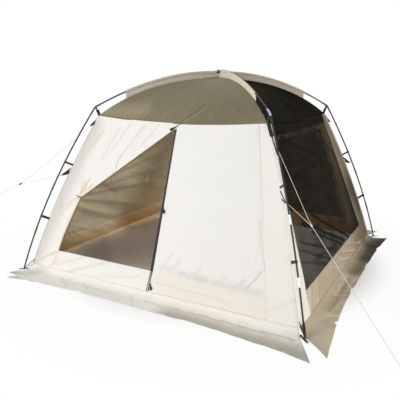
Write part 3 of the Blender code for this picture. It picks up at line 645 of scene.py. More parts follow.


# Colours of painted light and shade: a warm painted glow where light comes through the cloth, painted shade in folds
# and at the skirt's tips, painted highlights on fold crests and roof puckers, painted shade in the net's creases and a
# painted orange glow seen through the net.
PAINTED_WARM_GLOW: Colour = (0.72, 0.58, 0.38)
PAINTED_FOLD_SHADE: Colour = (0.60, 0.56, 0.50)
PAINTED_FOLD_HIGHLIGHT: Colour = (0.88, 0.79, 0.62)
PAINTED_SKIRT_TIP_SHADE: Colour = (0.40, 0.39, 0.37)
PAINTED_PUCKER_HIGHLIGHT: Colour = (0.37, 0.33, 0.205)
PAINTED_NET_CREASE_SHADE: Colour = (0.16, 0.125, 0.080)
PAINTED_NET_GLOW: Colour = (0.44, 0.26, 0.12)
ROOF_FOOT = 1.625

# Painted light and shade on the cream walls and skirts: painted glow lines where light comes through, painted shade
# lines in folds, and wide painted shaded bands towards the corners.
FRONT_PAINTED_SHADING = tones(
    (PAINTED_FOLD_SHADE, (-0.84, 1.47, -0.98, 1.25, 0.03, 0.34), (-0.64, 1.51, -0.8, 1.19, 0.028, 0.34),
     (-0.34, 1.56, -0.59, 1.19, 0.026, 0.38), (-0.5, 1.57, -0.72, 1.24, 0.022, 0.25),
     (-0.57, 1.25, -0.61, 1.08, 0.02, 0.4), (-0.17, 1.57, -0.34, 1.36, 0.018, 0.3)),
    (PAINTED_WARM_GLOW, (-0.99, 0.84, -0.9, 0.99, 0.014, 0.55), (-0.98, 0.83, -0.96, 0.98, 0.012, 0.5),
     (-0.97, 0.83, -0.84, 0.93, 0.014, 0.6)),
    (PAINTED_FOLD_SHADE, (-1.0, 0.86, -1.0, 1.0, 0.012, 0.4)),
    (PAINTED_WARM_GLOW, (-1.0, 0.8, -1.31, 0.61, 0.017, 0.62)),
    (PAINTED_FOLD_SHADE, (-1.03, 0.76, -1.32, 0.5, 0.03, 0.2)),
    (PAINTED_WARM_GLOW, (-1.0, 0.78, -1.17, 0.25, 0.03, 0.38)),
    ((0.56, 0.53, 0.47), (-1.5, 0.05, -0.98, 1.5, 0.19, 0.66)),
    (PAINTED_FOLD_SHADE, (-1.24, 0.9, -1.18, 0.2, 0.06, 0.12)),
)
SILL_PAINTED_SHADING = tones(
    (PAINTED_WARM_GLOW, (-1.15, 0.245, -1.235, 0.045, 0.009, 0.85), (-1.2, 0.215, -1.56, 0.015, 0.012, 0.85),
     (-1.17, 0.225, -1.24, 0.17, 0.012, 0.7)),
    (PAINTED_FOLD_SHADE, (-0.99, 0.05, -0.48, 0.235, 0.028, 0.3)),
    (PAINTED_WARM_GLOW, (-1.14, 0.095, -0.79, 0.235, 0.02, 0.38), (-1.19, 0.1, -0.98, 0.17, 0.014, 0.4),
     (-0.62, 0.055, -0.1, 0.165, 0.02, 0.2)),
    ((0.56, 0.53, 0.47), (-1.5, 0.05, -0.98, 1.5, 0.19, 0.66)),
    (PAINTED_FOLD_SHADE, (1.15, 0.1, 1.42, 0.26, 0.02, 0.16)),
)
DOOR_PAINTED_SHADING = tones(
    (PAINTED_FOLD_SHADE, (0.14, 0.29, 0.56, 0.262, 0.06, 0.2), (0.5, 0.262, 1.12, 0.252, 0.06, 0.24),
     (0.13, 0.268, 0.21, 0.42, 0.024, 0.26), (0.2, 0.262, 0.31, 0.372, 0.028, 0.24),
     (0.34, 0.252, 0.38, 0.296, 0.034, 0.18), (0.42, 0.25, 0.53, 0.345, 0.026, 0.22),
     (0.57, 0.246, 0.61, 0.282, 0.034, 0.18), (0.66, 0.242, 0.78, 0.32, 0.026, 0.22),
     (0.86, 0.24, 0.97, 0.335, 0.026, 0.24), (1.01, 0.82, 1.1, 0.49, 0.014, 0.34),
     (1.1, 0.5, 1.14, 0.43, 0.012, 0.36), (1.1, 0.42, 1.0, 0.27, 0.016, 0.5),
     (1.06, 0.36, 0.97, 0.26, 0.01, 0.4), (0.98, 0.36, 0.94, 0.27, 0.008, 0.34)),
    (PAINTED_WARM_GLOW, (0.1, 0.15, 0.8, 0.13, 0.014, 0.24)),
    (PAINTED_FOLD_SHADE, (0.9, 1.55, 1.04, 0.6, 0.024, 0.1)),
)
STRIP_PAINTED_SHADE = tones(
    (PAINTED_FOLD_SHADE, (-1.3, 0.62, -1.22, 0.4, 0.035, 0.4), (-1.28, 0.44, -1.2, 0.3, 0.025, 0.45),
     (-1.34, 0.3, -1.25, 0.2, 0.03, 0.4), (-1.26, 0.9, -1.16, 0.7, 0.02, 0.25)),
)
# The right wall in painted shade: wide painted shadows towards the back and low down, darker painted bands, and
# painted highlights on the sill's fold crests.
SIDE_PAINTED_SHADING = tones(
    ((0.25, 0.195, 0.13), (1.2, 0.75, 0.94, 1.62, 0.34, 0.92)),
    ((0.08, 0.058, 0.03), (1.48, 0.02, 1.26, 0.66, 0.46, 1.0)),
    ((0.2, 0.145, 0.08), (0.8, 0.14, 1.4, 0.14, 0.32, 0.85)),
    ((0.52, 0.43, 0.31), (-0.8, 0.13, 0.7, 0.13, 0.26, 0.55)),
    (PAINTED_FOLD_HIGHLIGHT, (0.52, 0.185, 1.0, 0.065, 0.018, 0.65), (0.16, 0.195, 0.7, 0.06, 0.018, 0.65),
     (-0.02, 0.165, 0.42, 0.055, 0.02, 0.6), (-0.42, 0.205, 0.06, 0.06, 0.022, 0.35)),
    ((0.36, 0.28, 0.18), (0.34, 0.215, 0.82, 0.11, 0.016, 0.5), (0.02, 0.215, 0.5, 0.09, 0.016, 0.45)),
    (PAINTED_FOLD_HIGHLIGHT, (-0.52, 0.225, -0.66, 0.06, 0.026, 0.4), (-0.84, 0.215, -0.95, 0.06, 0.03, 0.5)),
    ((0.93, 0.9, 0.82), (-1.08, 0.205, -1.2, 0.055, 0.024, 0.6)),
    ((0.48, 0.42, 0.32), (-0.99, 0.205, -1.12, 0.055, 0.024, 0.5)),
)
# The right skirt: painted highlights on its fold crests and a painted shadow that deepens to nearly black towards the
# back.
SKIRT_PAINTED_SHADING = tones(
    (PAINTED_FOLD_HIGHLIGHT, (1.56, -1.24, 1.64, -0.74, 0.05, 0.45), (1.56, -0.62, 1.55, -0.04, 0.03, 0.6),
     (1.62, -0.34, 1.66, 0.12, 0.034, 0.55), (1.58, 0.1, 1.6, 0.46, 0.03, 0.4)),
    ((0.36, 0.29, 0.18), (1.6, -0.96, 1.6, -0.22, 0.034, 0.5), (1.66, -0.6, 1.7, 0.1, 0.03, 0.4)),
    (PAINTED_FOLD_HIGHLIGHT, (1.56, -1.04, 1.78, -1.0, 0.03, 0.55), (1.58, -0.6, 1.76, -0.44, 0.026, 0.4),
     (1.58, 0.24, 1.76, 0.36, 0.024, 0.35)),
    ((0.42, 0.38, 0.29), (1.58, -1.6, 1.74, -1.72, 0.2, 0.72)),
    ((0.48, 0.43, 0.33), (1.56, -1.54, 1.66, -1.22, 0.18, 0.62)),
    ((0.2, 0.155, 0.095), (1.62, 0.1, 1.64, 0.8, 0.18, 0.85)),
    ((0.05, 0.04, 0.021), (1.66, 0.6, 1.64, 1.15, 0.2, 0.97)),
    ((0.016, 0.014, 0.007), (1.66, 1.1, 1.72, 1.52, 0.3, 1.0)),
    ((0.2, 0.16, 0.1), (1.56, 1.12, 1.62, 1.26, 0.03, 0.45)),
)
# The front skirt: painted shade at its left tips and towards its right, in its folds and along the foot of the wall.
FRONT_SKIRT_TONES = tones(
    (PAINTED_SKIRT_TIP_SHADE, (-1.66, -1.72, -1.5, -1.69, 0.06, 0.85), (-1.56, -1.83, -1.34, -1.8, 0.06, 0.8)),
    ((0.6, 0.59, 0.54), (-1.5, -1.76, -1.34, -1.56, 0.16, 0.55)),
    (PAINTED_FOLD_SHADE, (-1.3, -1.78, 0.6, -1.76, 0.06, 0.4)),
    ((0.42, 0.39, 0.31), (0.4, -1.73, 1.66, -1.8, 0.23, 0.94)),
    ((0.62, 0.5, 0.34), (0.06, -1.602, 0.6, -1.6, 0.016, 0.5)),
    ((0.55, 0.49, 0.38), (0.56, -1.596, 1.06, -1.606, 0.022, 0.6)),
    ((0.52, 0.47, 0.37), (1.0, -1.612, 1.48, -1.6, 0.024, 0.6)),
    (PAINTED_FOLD_SHADE, (-1.24, -1.58, -0.3, -1.6, 0.02, 0.26), (-1.02, -1.56, -0.78, -1.7, 0.022, 0.3),
     (-0.7, -1.58, -0.36, -1.72, 0.02, 0.26), (-0.12, -1.56, 0.02, -1.74, 0.018, 0.3),
     (0.22, -1.62, 0.46, -1.7, 0.024, 0.35), (0.52, -1.62, 0.7, -1.68, 0.024, 0.45),
     (0.74, -1.6, 0.98, -1.72, 0.026, 0.4), (1.04, -1.62, 1.18, -1.7, 0.026, 0.45),
     (1.2, -1.58, 1.4, -1.78, 0.026, 0.4), (1.44, -1.6, 1.6, -1.74, 0.03, 0.45)),
)
# Painted highlights on the puckers along the front eave's left half, then a broad painted highlight there, painted
# shade over the right half, and a painted shaded crease with highlights beside it.
ROOF_PAINTED_SHADING = tuple(
    Tone((low, ROOF_FOOT + rise), (low + slant, ROOF_FOOT + rise + tall), width, PAINTED_PUCKER_HIGHLIGHT, strength)
    for low, rise, slant, tall, width, strength in (
        (-0.86, 0.01, 0.02, 0.05, 0.012, 0.6), (-0.8, 0.005, 0.016, 0.075, 0.01, 0.45),
        (-0.75, 0.005, 0.022, 0.06, 0.01, 0.6), (-0.69, 0.0, 0.01, 0.095, 0.01, 0.5),
        (-0.63, -0.005, 0.018, 0.07, 0.01, 0.6), (-0.58, -0.005, 0.01, 0.11, 0.009, 0.45),
        (-0.52, -0.01, 0.016, 0.08, 0.01, 0.6), (-0.46, -0.01, 0.008, 0.1, 0.009, 0.45),
        (-0.4, -0.015, 0.012, 0.075, 0.009, 0.5), (-0.33, -0.015, 0.01, 0.09, 0.009, 0.4),
        (-0.26, -0.02, 0.012, 0.06, 0.008, 0.35), (-0.17, -0.02, 0.008, 0.07, 0.008, 0.3),
    )
) + tones(
    (PAINTED_PUCKER_HIGHLIGHT, (-0.86, 1.67, -0.45, 1.7, 0.13, 0.44)),
    ((0.14, 0.12, 0.072), (0.34, 1.66, 0.9, 1.8, 0.32, 0.5)),
    ((0.11, 0.095, 0.058), (0.06, 1.605, 0.2, 1.72, 0.012, 0.6)),
    (PAINTED_PUCKER_HIGHLIGHT, (0.09, 1.605, 0.24, 1.72, 0.012, 0.45), (0.34, 1.62, 0.37, 1.72, 0.012, 0.25)),
)
# Painted over the sunlit net: painted shade where the dim inside shows through, painted shade in its creases, and a
# painted orange glow from the sill inside.
NET_PAINTED_SHADING = tones(
    ((0.17, 0.125, 0.07), (-0.2, 0.95, -0.02, 1.45, 0.26, 0.75)),
    ((0.1, 0.05, 0.012), (-0.3, 0.62, -0.02, 0.68, 0.28, 0.92)),
    ((0.06, 0.045, 0.022), (-1.12, 0.24, -0.6, 0.34, 0.24, 0.92)),
    ((0.095, 0.06, 0.026), (-0.6, 0.3, -0.02, 0.46, 0.32, 0.92)),
    ((0.22, 0.13, 0.045), (-0.34, 0.8, -0.04, 0.92, 0.16, 0.5)),
    (PAINTED_NET_CREASE_SHADE, (-0.92, 0.83, -0.1, 1.03, 0.027, 0.49), (-0.86, 0.9, -0.05, 1.16, 0.027, 0.43),
     (-0.73, 0.95, -0.54, 0.89, 0.022, 0.53), (-0.95, 0.76, -0.3, 0.8, 0.032, 0.43),
     (-0.98, 0.68, -0.42, 0.62, 0.041, 0.36), (-0.6, 1.06, -0.05, 1.32, 0.03, 0.36),
     (-0.42, 1.2, -0.05, 1.44, 0.024, 0.33), (-1.075, 0.44, -0.9, 0.33, 0.019, 0.63),
     (-1.02, 0.455, -0.78, 0.37, 0.016, 0.59), (-1.1, 0.34, -1.0, 0.26, 0.016, 0.46),
     (-0.88, 0.4, -0.66, 0.34, 0.016, 0.4)),
    ((0.22, 0.13, 0.06), (-1.14, 0.27, -0.92, 0.3, 0.05, 0.5)),
    ((0.2, 0.155, 0.1), (-0.3, 1.42, -0.04, 1.46, 0.12, 0.45)),
    (PAINTED_NET_GLOW, (-1.0, 0.36, -0.4, 0.56, 0.045, 0.35)),
    ((0.2, 0.09, 0.02), (-0.4, 0.62, 0.0, 0.74, 0.08, 0.4)),
)

# The walls' cream, with painted glow and painted shade along the sill's folds and a painted shaded band at the front's
# left corner.
CREAM = ClothFinish(
    "cream_wall_cloth", (0.92, 0.89, 0.83), (0.88, 0.845, 0.775), glow=0.25, rumple_depth=0.0020, tones=SILL_PAINTED_SHADING
)
# The tied half: a painted glow and painted shade along its folds, and a painted shaded band towards the left corner.
CREAM_TIED = replace(
    CREAM, name="cream_tied_cloth", colour=(0.935, 0.905, 0.855), shade=(0.90, 0.865, 0.805), tones=FRONT_PAINTED_SHADING
)
# The closed half: painted shade in its folds, a painted glow line low down, and a warmer tone low down, of doubled
# cloth with painted light from the ground.
CREAM_DOOR = replace(
    CREAM, name="cream_door_cloth", colour=(0.93, 0.905, 0.86), shade=(0.895, 0.87, 0.815),
    rumple_depth=0.0018, low_colour=(0.91, 0.85, 0.75), tones=DOOR_PAINTED_SHADING,
)
# The right wall's left wing: lighter than the rest of that wall and glowing, as painted light, with painted shade in
# its folds.
LIT_CREAM_STRIP = replace(
    CREAM, name="cream_strip_cloth", colour=(0.95, 0.93, 0.88), shade=(0.91, 0.88, 0.82),
    rumple_depth=0.0040, tones=STRIP_PAINTED_SHADE, axes="YZ", through=(0.20, 0.19, 0.165),
)
CREAM_FLAP = replace(
    CREAM, name="cream_flap_cloth", colour=(0.93, 0.90, 0.85), shade=(0.89, 0.86, 0.80), rumple_depth=0.0016, tones=()
)
# The inside of the tied half and its rolled edge: cream painted orange and glowing where light comes through.
RIM_GLOW = ClothFinish(
    "cream_flap_inside", (0.92, 0.76, 0.50), (0.80, 0.60, 0.34), glow=0.25, through=(0.10, 0.06, 0.02)
)
# The right wall's cream, darkened and warmed as painted shade.
RIGHT_WALL_SHADE = ClothFinish(
    "cream_side_cloth", (0.76, 0.66, 0.49), (0.62, 0.53, 0.385), glow=0.15, rumple_depth=0.006,
    tones=SIDE_PAINTED_SHADING, axes="YZ", waver=0.04,
)
# The cloth's inward faces: the cream darkened to brown as painted shade, with a faint painted glow.
INSIDE_SHADE_AND_GLOW = ClothFinish(
    "cream_cloth_inside", (0.56, 0.38, 0.20), (0.46, 0.30, 0.15), sheen=0.0, through=(0.085, 0.062, 0.034)
)
# The sill's inward faces: a painted orange glow where light comes through.
SILL_GLOW = ClothFinish(
    "sill_cloth_inside", (0.70, 0.42, 0.20), (0.50, 0.29, 0.12), sheen=0.0, through=(0.19, 0.095, 0.030)
)
# The strip inside the wall's foot: a bright painted glow.
BASE_EDGE_GLOW = ClothFinish(
    "base_seam_inside", (0.85, 0.70, 0.45), (0.75, 0.60, 0.38), sheen=0.0, through=(0.62, 0.49, 0.30)
)
# The back cover's inward faces: cream painted nearly black as shade.
BACK_COVER_SHADE = ClothFinish(
    "cover_cloth_inside", (0.040, 0.031, 0.019), (0.022, 0.017, 0.010), sheen=0.0, specular=0.02
)
CREAM_TAPE = ClothFinish(
    "cream_seam_tape", (0.88, 0.84, 0.76), (0.83, 0.78, 0.70), rumple_depth=0.0006, rumple_scale=30.0
)
SKIRT_CLOTH = ClothFinish(
    "cream_skirt_cloth", (0.95, 0.91, 0.82), (0.88, 0.83, 0.73), "skirt_cloth", rumple_depth=0.006, glow=0.2
)
# The front skirt, with painted shade at its tips, in its folds and along the foot of the wall.
SKIRT_FRONT = replace(
    SKIRT_CLOTH, name="cream_front_skirt_cloth", colour=(0.96, 0.93, 0.86), shade=(0.90, 0.86, 0.78),
    tones=FRONT_SKIRT_TONES, axes="XY", waver=0.05,
)
# The right skirt's cream, darkened and warmed as painted shade.
RIGHT_SKIRT_SHADE = ClothFinish(
    "cream_side_skirt_cloth", (0.74, 0.64, 0.47), (0.52, 0.44, 0.32), "skirt_cloth",
    rumple_depth=0.010, tones=SKIRT_PAINTED_SHADING, axes="XY", waver=0.05,
)
OLIVE = ClothFinish(
    "olive_roof_cloth", (0.235, 0.203, 0.122), (0.160, 0.138, 0.086), "roof_cloth",
    roughness=0.6, rumple_depth=0.010, rumple_scale=9.0, stretch=(2.2, 2.2, 0.30),
)
# The front roof panel's olive, with painted highlights and painted shade.
OLIVE_FRONT = replace(OLIVE, name="olive_front_cloth", tones=ROOF_PAINTED_SHADING, waver=0.012)
# The right roof panel's olive, darkened nearly to black as painted shade.
RIGHT_ROOF_SHADE = ClothFinish(
    "dark_olive_roof_cloth", (0.015, 0.013, 0.006), (0.006, 0.005, 0.003), "roof_cloth",
    roughness=0.7, rumple_depth=0.012, sheen=0.0, specular=0.012,
)
# The side walls' headers: olive cloth darkened nearly to black as painted shade.
HEADER_SHADE = ClothFinish(
    "dark_olive_header_cloth", (0.017, 0.013, 0.007), (0.006, 0.005, 0.003),
    roughness=0.7, rumple_depth=0.014, sheen=0.0, specular=0.020,
)
SLEEVE_CLOTH = ClothFinish(
    "beige_sleeve_cloth", (0.60, 0.54, 0.45), (0.50, 0.45, 0.37), "sleeve", rumple_depth=0.0020, rumple_scale=30.0
)
# A lighter copy of the sleeve cloth, as painted light on the front-right sleeve.
LIT_SLEEVE = replace(SLEEVE_CLOTH, name="light_sleeve_cloth", colour=(0.78, 0.71, 0.58), shade=(0.66, 0.60, 0.49))
DARK_SLEEVE_LINE = ClothFinish("grey_sleeve_seam", (0.08, 0.08, 0.08), (0.05, 0.05, 0.05), "sleeve", rumple_depth=0.0006)
NET = NetFinish("dark_net", (0.030, 0.025, 0.018), (0.014, 0.012, 0.008), cover=0.66)
# The side net: its tones are painted light on the threads, its gathers denser net painted darker as shade.
NET_SIDE = replace(
    NET,
    name="dark_side_net",
    axes="YZ",
    tones=tones(
        ((0.075, 0.064, 0.042), (0.8, 0.45, 0.84, 1.5, 0.24, 0.95)),
        ((0.085, 0.068, 0.052), (-1.1, 0.66, -0.86, 0.3, 0.24, 0.8)),
    ),
    gathers=tones(
        ((0.006, 0.005, 0.004), (-0.51, 0.74, 0.56, 0.25, 0.03, 0.85),
         (-0.78, 0.72, 0.33, 0.27, 0.034, 0.8)),
        ((0.01, 0.008, 0.006), (-0.6, 0.6, 0.2, 0.27, 0.026, 0.65)),
        ((0.012, 0.01, 0.009), (-0.98, 0.6, -0.05, 0.27, 0.024, 0.42),
         (-1.02, 0.54, -0.31, 0.26, 0.022, 0.38)),
        ((0.014, 0.012, 0.011), (-1.06, 0.45, -0.45, 0.25, 0.02, 0.32)),
        ((0.007, 0.006, 0.004), (-0.7, 1.46, 0.3, 1.2, 0.05, 0.6)),
        ((0.03, 0.02, 0.01), (0.4, 1.46, 0.95, 1.1, 0.03, 0.5)),
    ),
)
# The sunlit net: the same dark net painted lighter as light, with painted shade and a painted glow over it.
NET_FRONT = NetFinish("sunlit_net", (0.47, 0.40, 0.27), (0.31, 0.26, 0.17), cover=0.56, tones=NET_PAINTED_SHADING)
BLACK_WEBBING = WebbingFinish("black_webbing", (0.018, 0.015, 0.013), (0.010, 0.008, 0.007))
TAB_WEBBING = WebbingFinish("dark_brown_webbing", (0.040, 0.030, 0.022), (0.022, 0.017, 0.013))
ZIP_TAPE = WebbingFinish("black_zip_tape", (0.024, 0.021, 0.020), (0.016, 0.014, 0.013), rib=0.0018)
BLACK_PLASTIC = PlasticFinish("black_plastic", (0.015, 0.014, 0.014))
BRIGHT_STEEL = PlasticFinish("bright_steel", (0.62, 0.62, 0.63), slot="pole", roughness=0.28, metallic=1.0)
# Steel darkened as painted shade, for the ferrule lips away from the front-right leg.
SHADED_STEEL = PlasticFinish("worn_steel", (0.16, 0.16, 0.17), slot="pole", roughness=0.34, metallic=1.0)
CORD = CordFinish("pale_cord", (0.78, 0.74, 0.64), (0.62, 0.58, 0.48))
DARK_POLE = PoleFinish("dark_pole")


@dataclass(frozen=True)
class Crease:
    """A soft fold in a wall's cloth, from one point to another, given as (x, height)."""

    start: Pair
    end: Pair
    width: float
    depth: float

    def lift(self, x: float, height: float) -> float:
        """How far the fold raises the cloth at a point."""
        along = Vector((self.end[0] - self.start[0], self.end[1] - self.start[1]))
        reach = Vector((x - self.start[0], height - self.start[1]))
        share = reach.dot(along) / along.length_squared
        aside = (reach.x * along.y - reach.y * along.x) / along.length
        width = self.width * (0.55 + 0.45 * min(1.0, max(0.0, share) * 1.5))
        fade = ease(share / 0.15 + 0.15) * ease((1 - share) / 0.25)
        return self.depth * fade * math.exp(-((aside / width) ** 2))


def creases(*rows: Sequence[float]) -> list[Crease]:
    """Folds from rows of two numbers for each end, the half width and the depth."""
    return [Crease(row[:2], row[2:4], *row[4:]) for row in rows]


def lifted(folds: Sequence[Crease], x: float, height: float) -> float:
    """How far the folds together raise the cloth at a point."""
    return sum(fold.lift(x, height) for fold in folds)


def length_of(points: Sequence[Vector]) -> float:
    """Length of the way through the points."""
    return sum((b - a).length for a, b in zip(points, points[1:]))


def link(name: str, data: bpy.types.ID) -> Piece:
    """A new object of that data in the scene."""
    made = bpy.data.objects.new(name, data)
    bpy.context.scene.collection.objects.link(made)
    return made


def finish_mesh(name: str, source: bmesh.types.BMesh, smooth_degrees: float = 50.0) -> Piece:
    """Turns a bmesh into an object in the scene and frees it.

    Args:
        name: The object's name.
        source: The shape, in the tent's frame.
        smooth_degrees: Edges sharper than this stay crisp.

    Returns:
        The object.
    """
    bmesh.ops.recalc_face_normals(source, faces=source.faces)
    mesh = bpy.data.meshes.new(name)
    source.to_mesh(mesh)
    source.free()
    mesh.shade_smooth()
    mesh.set_sharp_from_angle(angle=math.radians(smooth_degrees))
    return link(name, mesh)


@dataclass
class Sheet:
    """A piece of cloth: a grid laid out by a function, then given its thickness."""

    name: str
    finish: Finish
    place: Callable[[float, float], Vector]
    columns: int
    rows: int
    thickness: float = 0.0010
    held: str = "hung"
    wraps: bool = False
    inside: Finish | None = None
    width: float = field(default=0.0, init=False)
    length: float = field(default=0.0, init=False)
    area: float = field(default=0.0, init=False)

    def build(self, body: str | None = None) -> Piece:
        """Builds the sheet and measures the flat piece it was cut from.

        Args:
            body: The body that it rides on, if any yet.

        Returns:
            The piece, dressed, in the tent's frame.
        """
        across = range(self.columns + 1)
        points = [[self.place(i / self.columns, j / self.rows) for i in across] for j in range(self.rows + 1)]
        self.measure(points)
        grid = bmesh.new()
        bmesh.ops.create_grid(grid, x_segments=self.columns, y_segments=self.rows, size=1)
        layer = grid.loops.layers.uv.new("metres")
        spots = {}
        for index, vert in enumerate(grid.verts):
            j, i = divmod(index, self.columns + 1)
            vert.co = points[j][i]
            spots[vert] = (i * (self.width / self.columns), j * (self.length / self.rows))
        for face in grid.faces:
            for loop in face.loops:
                loop[layer].uv = spots[loop.vert]
        if self.wraps:
            bmesh.ops.remove_doubles(grid, verts=grid.verts, dist=0.00005)
        piece = finish_mesh(self.name, grid)
        self.thicken(piece)
        self.finish.dress(piece)
        if self.inside is not None:
            self.coat(piece, self.inside)
        if body is not None:
            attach(piece, body)
        return piece

    def thicken(self, piece: Piece) -> None:
        """Gives the piece its thickness, so that its mesh is final."""
        shell = piece.modifiers.new("thickness", "SOLIDIFY")
        shell.thickness, shell.offset = self.thickness, 0
        bpy.context.view_layer.update()
        graph = bpy.context.evaluated_depsgraph_get()
        mesh = bpy.data.meshes.new_from_object(piece.evaluated_get(graph))
        piece.modifiers.clear()
        piece.data = mesh

    def coat(self, piece: Piece, inside: Finish) -> None:
        """Gives the faces that look at the tent's middle the inside's finish."""
        # The inward faces get painted shade and painted glow: the same cloth as outside, darkened or glowing where it
        # faces the tent's middle.
        piece.data.materials.append(inside.material)
        middle = Vector((0, 0, 0.9))
        for face in piece.data.polygons:
            if face.normal.dot(face.center - middle) < 0:
                face.material_index = 1

    def measure(self, points: Sequence[Sequence[Vector]]) -> None:
        """Works out the flat width, length and area from the grid's own cells."""
        self.width, self.length = max(map(length_of, points)), max(map(length_of, zip(*points)))
        for low, high in zip(points, points[1:]):
            for a, b, c, d in zip(low, low[1:], high[1:], high):
                self.area += ((b - a).cross(c - a).length + (c - a).cross(d - a).length) / 2


def hang(sheet: Sheet, body: str | Callable[[Piece], None], replaced: Sequence[str]) -> None:
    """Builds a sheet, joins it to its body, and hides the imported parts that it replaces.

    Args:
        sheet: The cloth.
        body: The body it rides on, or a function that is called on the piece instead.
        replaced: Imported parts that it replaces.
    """
    piece = sheet.build()
    if callable(body):
        body(piece)
    else:
        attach(piece, body)
    if replaced:
        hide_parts(*replaced)


def tube(
    name: str,
    points: Sequence[Vector],
    radii: Sequence[float],
    finish: Finish,
    closed: bool = False,
    body: str = "tent",
) -> Piece:
    """A round bar or cord along points, as a curve.

    Args:
        name: The object's name.
        points: The centre line, in the tent's frame.
        radii: One radius, or one for each point.
        finish: Its finish.
        closed: Whether it runs in a ring.
        body: The body that it rides on.

    Returns:
        The curve object.
    """
    curve = bpy.data.curves.new(name, "CURVE")
    curve.dimensions = "3D"
    curve.bevel_depth, curve.bevel_resolution = 1, 3
    curve.use_fill_caps = not closed
    spline = curve.splines.new("POLY")
    spline.points.add(len(points) - 1)
    sizes = radii if len(radii) > 1 else list(radii) * len(points)
    for target, point, radius in zip(spline.points, points, sizes):
        target.co = (*point, 1)
        target.radius = radius
    spline.use_cyclic_u = closed
    spline.use_smooth = True
    made = link(name, curve)
    finish.dress(made)
    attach(made, body)
    return made


def circle(centre: Vector, way: Vector, radius: float, count: int = 20) -> list[Vector]:
    """Points of a ring round a centre, square to a direction."""
    turn = Vector((0, 0, 1)).rotation_difference(way.normalized()).to_matrix()
    angles = [2 * math.pi * k / count for k in range(count)]
    return [centre + turn @ Vector((radius * math.cos(a), radius * math.sin(a), 0)) for a in angles]


def ribbon(
    name: str,
    line: Callable[[float], Tape],
    steps: int,
    thickness: float,
    finish: Finish,
    body: str | None = "tent",
    across: int = 2,
) -> Piece:
    """A flat tape along a line.

    Args:
        name: The object's name.
        line: Gives the tape's middle, its crosswise direction and its width at a share of its length.
        steps: Steps along it.
        thickness: Its thickness.
        finish: Its finish.
        body: The body that it rides on, if any yet.
        across: Steps across it.

    Returns:
        The piece.
    """

    def place(u: float, v: float) -> Vector:
        middle, side, width = line(v)
        return middle + side * width * (u - 0.5)

    return Sheet(name, finish, place, across, steps, thickness).build(body)


